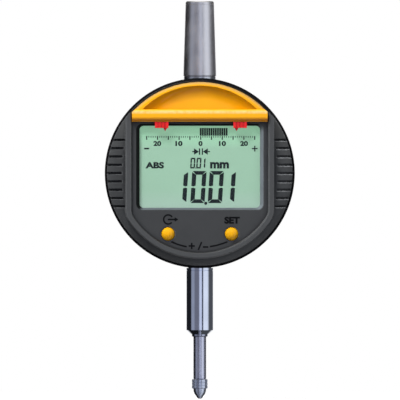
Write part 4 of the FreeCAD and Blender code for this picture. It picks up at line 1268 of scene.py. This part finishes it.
@dataclass
class Reading(Assembly):
    """What the liquid crystal cell shows, as thin dark shapes on its front glass."""

    thickness: float = 0.03
    zero: float = 0.27
    unit: float = 0.64
    reach: int = 25
    major_step: int = 5
    tick_top: float = 10.95
    minor_tick: float = 0.45
    minor_width: float = 0.2
    major_tick: float = 1.1
    major_width: float = 0.32
    number_bottom: float = 8.0
    number_top: float = 9.5
    bar_bottom: float = 11.07
    bar_top: float = 13.35
    bar_width: float = 0.53
    bars: int = 13
    sign_z: float = 7.25
    minus_left: float = -16.54
    minus_right: float = -15.0
    minus_line: float = 0.42
    plus_x: float = 16.3
    plus_arm: float = 0.85
    plus_line: float = 0.36
    symbol_x: float = 0.36
    symbol_z: float = 6.36
    symbol_half: float = 0.95
    symbol_line: float = 0.32
    word_bottom: float = 1.35
    word_top: float = 3.27
    weight: float = 0.05
    main: SegmentDigits = SegmentDigits(4.24, 9.5, 1.26, 1.1, -8.89, 0.065, 0.1, 0.45)
    small: SegmentDigits = SegmentDigits(1.42, 3.15, 0.42, 0.42, 1.37, 0.06, 0.03, 0.1)
    main_point: Place = (1.76, -8.95, 0.46)
    small_point: Place = (-1.17, 1.5, 0.16)

    def glass(self) -> tuple[float, float]:
        """Gives where the marks begin and where they meet the cell's glass, along y."""
        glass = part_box("lcd_panel")[0].y / MM
        return glass - self.thickness, glass

    def place(self, name: str, outlines: list[Outline]) -> None:
        """Puts flat shapes on the cell's front."""
        self.shop.add(name, self.shop.prisms(outlines, *self.glass()), INK)

    def letters(self, name: str, words: list[Lettering]) -> None:
        """Puts letters on the cell's front as one piece.

        Args:
            name: The piece's name.
            words: The words, each with its box.
        """
        mesh = joined([word.mesh(self.shop, *self.glass()) for word in words])
        self.shop.add(name, mesh, INK)

    def ticks(self) -> None:
        """Rules the scale along the top."""
        outlines = []
        for step in range(-self.reach, self.reach + 1):
            major = step % self.major_step == 0
            half = (self.major_width if major else self.minor_width) / 2
            drop = self.major_tick if major else self.minor_tick
            x = self.zero + step * self.unit
            outlines.append(rectangle(x - half, x + half, self.tick_top - drop, self.tick_top))
        self.place("scale_ticks", outlines)

    def numbers(self) -> None:
        """Writes the scale's numbers."""
        words = []
        for value, half, shift in (
            (-20, 1.15, -0.05),
            (-10, 1.05, -0.05),
            (0, 0.6, -0.05),
            (10, 1.05, 0.05),
            (20, 1.15, 0.05),
        ):
            x = self.zero + value * self.unit + shift
            box = (x - half, x + half, self.number_bottom, self.number_top)
            words.append(Lettering(str(abs(value)), *box, self.weight))
        self.letters("scale_numbers", words)

    def bar_graph(self) -> None:
        """Shows the reading as a row of bars."""
        middles = [self.zero + step * self.unit for step in range(self.bars)]
        half, ends = self.bar_width / 2, (self.bar_bottom, self.bar_top)
        self.place("bar_graph", [rectangle(x - half, x + half, *ends) for x in middles])

    def signs(self) -> None:
        """Marks the scale's minus and plus sides."""
        z, half = self.sign_z, self.minus_line / 2
        minus = rectangle(self.minus_left, self.minus_right, z - half, z + half)
        plus = cross(self.plus_x, z, self.plus_arm, self.plus_line / 2)
        self.place("scale_signs", [minus, *plus])

    def tolerance_symbol(self) -> None:
        """Draws the two arrowheads that stand for the tolerance band."""
        x, z, half, thin = self.symbol_x, self.symbol_z, self.symbol_half, self.symbol_line / 2
        outlines = [
            rectangle(x - 2.6, x - 2.0, z - thin, z + thin),
            [(x - 2.06, z - half), (x - 0.6, z), (x - 2.06, z + half)],
            rectangle(x - 0.62, x - 0.24, z - half, z + half),
            rectangle(x + 0.24, x + 0.58, z - half, z + half),
            [(x + 0.56, z), (x + 2.0, z - half), (x + 2.0, z + half)],
            rectangle(x + 2.02, x + 2.7, z - thin, z + thin),
        ]
        self.place("tolerance_symbol", outlines)

    def small_words(self) -> None:
        """Writes the letters beside the readings."""
        height = (self.word_bottom, self.word_top)
        kind = Lettering("ABS", -16.1, -10.6, *height, self.weight)
        unit = Lettering("mm", 3.05, 8.65, *height, self.weight)
        self.letters("display_words", [kind, unit])

    def readings(self) -> None:
        """Shows the resolution and the measured value."""
        fine = self.small.row([(NOUGHT, -2.07), (NOUGHT, -0.28), (ONE, 0.94)])
        self.place("resolution_digits", [*fine, disc(*self.small_point)])
        coarse = self.main.row([(ONE, -5.82), (NOUGHT, -0.4), (NOUGHT, 4.76), (ONE, 8.33)])
        self.place("main_digits", [*coarse, disc(*self.main_point)])

    def build(self) -> None:
        """Builds everything that the cell shows."""
        self.ticks()
        self.numbers()
        self.bar_graph()
        self.signs()
        self.tolerance_symbol()
        self.small_words()
        self.readings()


@dataclass
class Legends(Assembly):
    """The signs pressed into the panel beside the buttons, drawn as thin near-black pieces whose
    colour is painted shade.
    """

    front: float = -15.6
    height: float = 0.05
    line: float = 0.42
    loop_x: float = -9.35
    loop_z: float = -13.75
    loop_radius: float = 1.35
    arrow_half: float = 0.62
    sign_z: float = -21.6
    plus_x: float = -2.4
    plus_arm: float = 0.9

    def place(self, name: str, mesh: bpy.types.Mesh) -> None:
        """Puts a sign on the panel."""
        self.shop.add(name, mesh, LEGEND, SHELL_SLOT)

    def depth(self) -> tuple[float, float]:
        """Gives where the signs begin and end, along y."""
        return self.front - self.height, self.front + self.height

    def loop_arrow(self) -> None:
        """Draws the mode button's ring with its arrow."""
        x, z, half = self.loop_x, self.loop_z, self.arrow_half
        ring = stroke(arc(x, z, self.loop_radius, 32, 320), self.line)
        shaft = stroke([(x - 0.1, z), (x + 2.2, z)], self.line)
        head = [(x + 1.95, z - half), (x + 2.95, z), (x + 1.95, z + half)]
        self.place("mode_legend", self.shop.prisms([ring, shaft, head], *self.depth()))

    def set_word(self) -> None:
        """Writes the set button's word."""
        word = Lettering("SET", 7.3, 11.83, -15.0, -12.95, 0.045)
        self.place("set_legend", word.mesh(self.shop, *self.depth()))

    def plus_minus(self) -> None:
        """Draws the plus and minus sign between two lines that lead to the buttons."""
        z, half = self.sign_z, self.line / 2
        outlines = [
            *cross(self.plus_x, z, self.plus_arm, half),
            stroke([(-0.45, z - 1.15), (0.55, z + 1.15)], self.line),
            rectangle(0.95, 2.5, z - 0.3 - half, z - 0.3 + half),
            stroke([(-8.4, -20.35), (-6.9, -21.0), (-5.3, -21.5), (-3.9, -21.8)], self.line),
            stroke([(3.0, -21.8), (4.8, -21.45), (6.6, -20.95), (8.2, -20.35)], self.line),
        ]
        self.place("preset_legend", self.shop.prisms(outlines, *self.depth()))

    def build(self) -> None:
        """Builds the three signs."""
        self.loop_arrow()
        self.set_word()
        self.plus_minus()


@dataclass
class WindowTrim(Assembly):
    """The glossy lip that lines the window's bevel and carries its painted light and shade."""

    half_width: float = 17.83
    low: float = -10.3
    high: float = 14.0
    corner: float = 1.2
    side: float = 1.0
    end: float = 0.6
    back: float = -15.0
    front: float = -15.6
    skin: float = 0.03
    corner_steps: int = 6

    def ring(self, grow: float, x_grow: float, z_grow: float) -> Outline:
        """Outlines the bevel's edge.

        Args:
            grow: How much rounder its corners are than at the glass.
            x_grow: How far it lies outside the glass's edge at the sides.
            z_grow: How far it lies outside it above and below.

        Returns:
            The outline, anticlockwise from the right.
        """
        radius = self.corner + grow
        side = self.half_width + x_grow - radius
        top, bottom = self.high + z_grow - radius, self.low - z_grow + radius
        corners = ((side, top), (-side, top), (-side, bottom), (side, bottom))
        points = []
        for quarter, (x, z) in enumerate(corners):
            points += arc(x, z, radius, 90 * quarter, 90 * quarter + 90, self.corner_steps)
        return points

    def build(self) -> None:
        """Builds the lip as one closed band."""
        inner, outer = self.ring(0.0, 0.0, 0.0), self.ring(self.end, self.side, self.end)
        loops = [
            (inner, self.back - self.skin),
            (outer, self.front - self.skin / 2),
            (outer, self.front + self.skin),
            (inner, self.back + self.skin),
        ]
        mesh = finished(self.shop.band(loops, capped=False), "window_trim")
        self.shop.add("window_trim", mesh, TRIM, SHELL_SLOT)


@dataclass
class Spindle(Assembly):
    """The spindle with its contact, and what it carries inside the case."""

    def build(self) -> None:
        """Dresses the spindle's nodes."""
        self.shop.dress(SPINDLE_STEEL, "spindle", "guide_pin", "spring_pin")
        self.shop.dress(CONTACT_STEEL, "contact_point")
        self.shop.dress(BALL, "contact_ball")
        self.shop.dress(CARRIER, "scale_carrier")
        self.shop.dress(SCALE, "scale_strip")


@dataclass
class Case(Assembly):
    """The round case with its stem, its cap and its back."""

    def build(self) -> None:
        """Dresses the case's nodes."""
        self.shop.dress(CASE_COAT, "rear_case")
        self.shop.dress(COVER_COAT, "rear_cover")
        self.shop.dress(STEM_STEEL, "clamping_stem")
        self.shop.dress(SLEEVE_STEEL, "spindle_cap")
        self.shop.dress(RING_STEEL, "cap_base_ring")
        self.shop.dress(BUSH, "lower_bush", "upper_bush")
        self.shop.dress(RUBBER, "rear_cover_gasket", "stop_buffer", "head_seal_ring")
        self.shop.dress(SCREW, "rear_cover_screws")
        self.shop.dress(SPRING, "head_friction_spring", "head_retaining_ring")


@dataclass
class MeasuringSystem(Assembly):
    """The reading head, its board, the guide and the return spring."""

    def build(self) -> None:
        """Dresses the nodes inside the case."""
        self.shop.dress(RAIL, "guide_rail")
        self.shop.dress(SCREW, "guide_rail_screws", "sensor_board_screws")
        self.shop.dress(SPRING, "return_spring")
        self.shop.dress(BOARD, "sensor_board")
        self.shop.dress(CHIP, "reading_head")
        self.shop.dress(CONNECTOR, "sensor_connector")


@dataclass
class Battery(Assembly):
    """The coin cell, its contacts and its door."""

    def build(self) -> None:
        """Dresses the battery's nodes."""
        self.shop.dress(CELL_CAN, "battery_cell")
        self.shop.dress(CONTACT_LEAF, "battery_contact_negative", "battery_contact_positive")
        self.shop.dress(COVER_COAT, "battery_door")
        self.shop.dress(RUBBER, "battery_door_seal")


@dataclass
class DisplayHead(Assembly):
    """The turning head: its housing, cap, buttons, markers, window and board."""

    cell_low: float = -10.3
    cell_high: float = 14.0

    def reflector(self) -> Finish:
        """Gives the cell's finish, which runs from its foot to its top.

        Returns:
            The finish.
        """
        lift = self.shop.middle / MM
        return LiquidCrystal(
            "cell_reflector",
            crown=from_screen(153, 206, 171),
            shoulder=from_screen(136, 171, 149),
            belly=from_screen(135, 169, 148),
            foot=from_screen(144, 171, 157),
            low=self.cell_low + lift,
            high=self.cell_high + lift,
        )

    def build(self) -> None:
        """Dresses the head's nodes."""
        self.shop.dress(SHELL, "display_housing", "lcd_frame")
        self.shop.dress(CASE_COAT, "head_base")
        self.shop.dress(CAP, "top_cap")
        self.shop.dress(BUTTON, "mode_button", "set_button")
        self.shop.dress(MARKER, "left_tolerance_marker", "right_tolerance_marker")
        self.shop.dress(WINDOW, "display_window")
        self.shop.dress(self.reflector(), "lcd_panel")
        self.shop.dress(STRIP_RUBBER, "lcd_connector_strips")
        self.shop.dress(BOARD, "display_board")
        self.shop.dress(CHIP, "display_chip", "button_switches")
        self.shop.dress(CONNECTOR, "display_connector")
        self.shop.dress(SCREW, "display_board_screws", "head_screws")
        self.shop.dress(RIBBON, "flex_ribbon")


@dataclass(frozen=True)
class Lamp:
    """A soft square lamp: its place from the middle of the face, its side and its watts."""

    name: str
    place: Place
    side: float
    power: float


@dataclass
class Studio(Assembly):
    """The room: camera, lamps, the room's own light and a pale floor."""

    distance: float = 4200.0
    face: float = -15.0
    view_x: float = 0.065
    view_z: float = -7.985
    view_width: float = 118.5
    sensor: float = 36.0
    nearest: float = 0.1
    farthest: float = 50.0
    floor_gap: float = 0.3
    floor_radius: float = 260.0
    floor_sides: int = 96
    ambient: float = 0.14
    below: float = 0.75
    behind: float = 0.08
    lamps: tuple[Lamp, ...] = (
        Lamp("key_lamp", (-360.0, -600.0, 860.0), 360.0, 18.0),
        Lamp("fill_lamp", (820.0, -560.0, 200.0), 600.0, 2.4),
        Lamp("side_lamp", (-820.0, -560.0, 100.0), 600.0, 1.8),
        Lamp("back_lamp", (500.0, 900.0, 500.0), 500.0, 12.0),
        Lamp("low_lamp", (150.0, -900.0, -200.0), 500.0, 0.3),
    )

    def camera(self) -> None:
        """Sets up a long lens straight in front of the face."""
        data = bpy.data.cameras.new("camera")
        data.sensor_width = self.sensor
        data.lens = self.sensor * self.distance / self.view_width
        data.clip_start, data.clip_end = self.nearest, self.farthest
        camera = link("camera", data)
        camera.location = self.shop.on_face(self.view_x, self.face - self.distance, self.view_z)
        camera.rotation_euler = (math.pi / 2, 0.0, 0.0)
        bpy.context.scene.camera = camera

    def hang(self, lamp: Lamp) -> None:
        """Hangs a lamp that shines on the face and that nothing mirrors.

        Args:
            lamp: The lamp.
        """
        data = bpy.data.lights.new(lamp.name, "AREA")
        data.shape = "SQUARE"
        data.size = lamp.side * MM
        data.energy = lamp.power
        hung = link(lamp.name, data)
        hung.location = self.shop.on_face(*lamp.place)
        aim = self.shop.on_face(0.0, 0.0, 0.0) - hung.location
        hung.rotation_euler = aim.to_track_quat("-Z", "Y").to_euler()
        hung.visible_glossy = False

    def mirrored(self, tree: Tree) -> Socket:
        """Adds what shiny pieces show: panels and dark flags round them, and the room above.

        Args:
            tree: The room's node tree.

        Returns:
            The background that they show.
        """
        direction = tree.add("ShaderNodeTexCoord").outputs["Generated"]
        x, y, z = (tree.axis(direction, index) for index in (X, Y, Z))
        angle = tree.maths("ARCTAN2", x, tree.product(y, -1.0))
        panels = tree.ramp(tree.between(angle, -math.pi, math.pi), self.panels())
        overhead = tree.ramp(tree.between(z, -1.0, 1.0), self.overhead())
        high = tree.between(z, 0.15, 0.4)
        low = tree.between(z, -0.6, -0.1, self.below, 1.0)
        back = tree.product(tree.between(y, 0.05, 0.45), high)
        strength = tree.product(low, tree.between(back, 0.0, 1.0, 1.0, self.behind))
        given = {"Color": tree.mix(high, panels, overhead), "Strength": strength}
        return tree.add("ShaderNodeBackground", given).outputs[0]

    def room(self) -> None:
        """Lights the room."""
        world = bpy.data.worlds.new("room")
        world.use_nodes = True
        world.node_tree.nodes.clear()
        tree = Tree(world.node_tree)
        given = {"Color": (0.98, 0.99, 1.0), "Strength": self.ambient}
        soft = tree.add("ShaderNodeBackground", given).outputs[0]
        white = tree.add("ShaderNodeBackground", {"Color": WHITE}).outputs[0]
        glossy = tree.add("ShaderNodeLightPath").outputs["Is Glossy Ray"]
        unseen = tree.blend(glossy, soft, self.mirrored(tree))
        tree.add("ShaderNodeOutputWorld", {0: tree.blend(tree.seen(), unseen, white)})
        bpy.context.scene.world = world

    def panels(self) -> list[tuple[float, Colour]]:
        """Lists what stands round the object at eye level.

        Returns:
            Each place from the left of the back, through the front, to the right of the
            back, as a share of a full turn, with its brightness.
        """
        dark, line, side = (0.012, 0.013, 0.016), (0.05, 0.058, 0.085), (0.085, 0.09, 0.1)
        grey, pale = (0.17, 0.178, 0.23), (0.3, 0.33, 0.42)
        front, bright = (0.66, 0.72, 0.9), (0.82, 0.88, 1.0)
        stretches = (
            (-180, -160, WHITE),
            (-152, -82, dark),
            (-74, -50, pale),
            (-42, -8, grey),
            (0, 16, front),
            (20, 27, line),
            (33, 70, bright),
            (88, 150, side),
            (160, 180, WHITE),
        )
        return [
            ((angle + 180) / 360, colour)
            for start, end, colour in stretches
            for angle in (start, end)
        ]

    def overhead(self) -> list[tuple[float, Colour]]:
        """Lists what the room shows from straight below to straight above."""
        low, level, high = (0.2, 0.2, 0.2), (0.16, 0.165, 0.18), (1.0, 1.0, 0.98)
        return [(0.0, low), (0.35, level), (0.6, level), (0.75, high), (1.0, high)]

    def floor(self) -> None:
        """Lays a round pale floor just under the object."""
        lowest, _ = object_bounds()
        height = lowest.z - self.floor_gap * MM
        build = bmesh.new()
        rim = disc(0.0, 0.0, self.floor_radius * MM, self.floor_sides)
        build.faces.new([build.verts.new((x, y, height)) for x, y in rim])
        mesh = finished(build, "floor")
        mesh.materials.append(self.shop.material(FLOOR))
        floor = link("floor", mesh)
        floor.visible_glossy = False
        floor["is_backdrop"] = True

    def build(self) -> None:
        """Sets up the room."""
        self.camera()
        for lamp in self.lamps:
            self.hang(lamp)
        self.room()
        self.floor()
        bpy.context.scene.view_settings.view_transform = "Standard"


def main() -> None:
    """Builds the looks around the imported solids."""
    logging.basicConfig(level=logging.INFO, format="%(message)s")
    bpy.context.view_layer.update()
    shop = Workshop(frame["nodes"])
    dressed = (Case, Spindle, MeasuringSystem, Battery, DisplayHead)
    for part in (*dressed, Reading, Legends, WindowTrim, Studio):
        log.info("building %s", part.__name__)
        part(shop).build()
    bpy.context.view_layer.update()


if __name__ == "__main__":
    main()
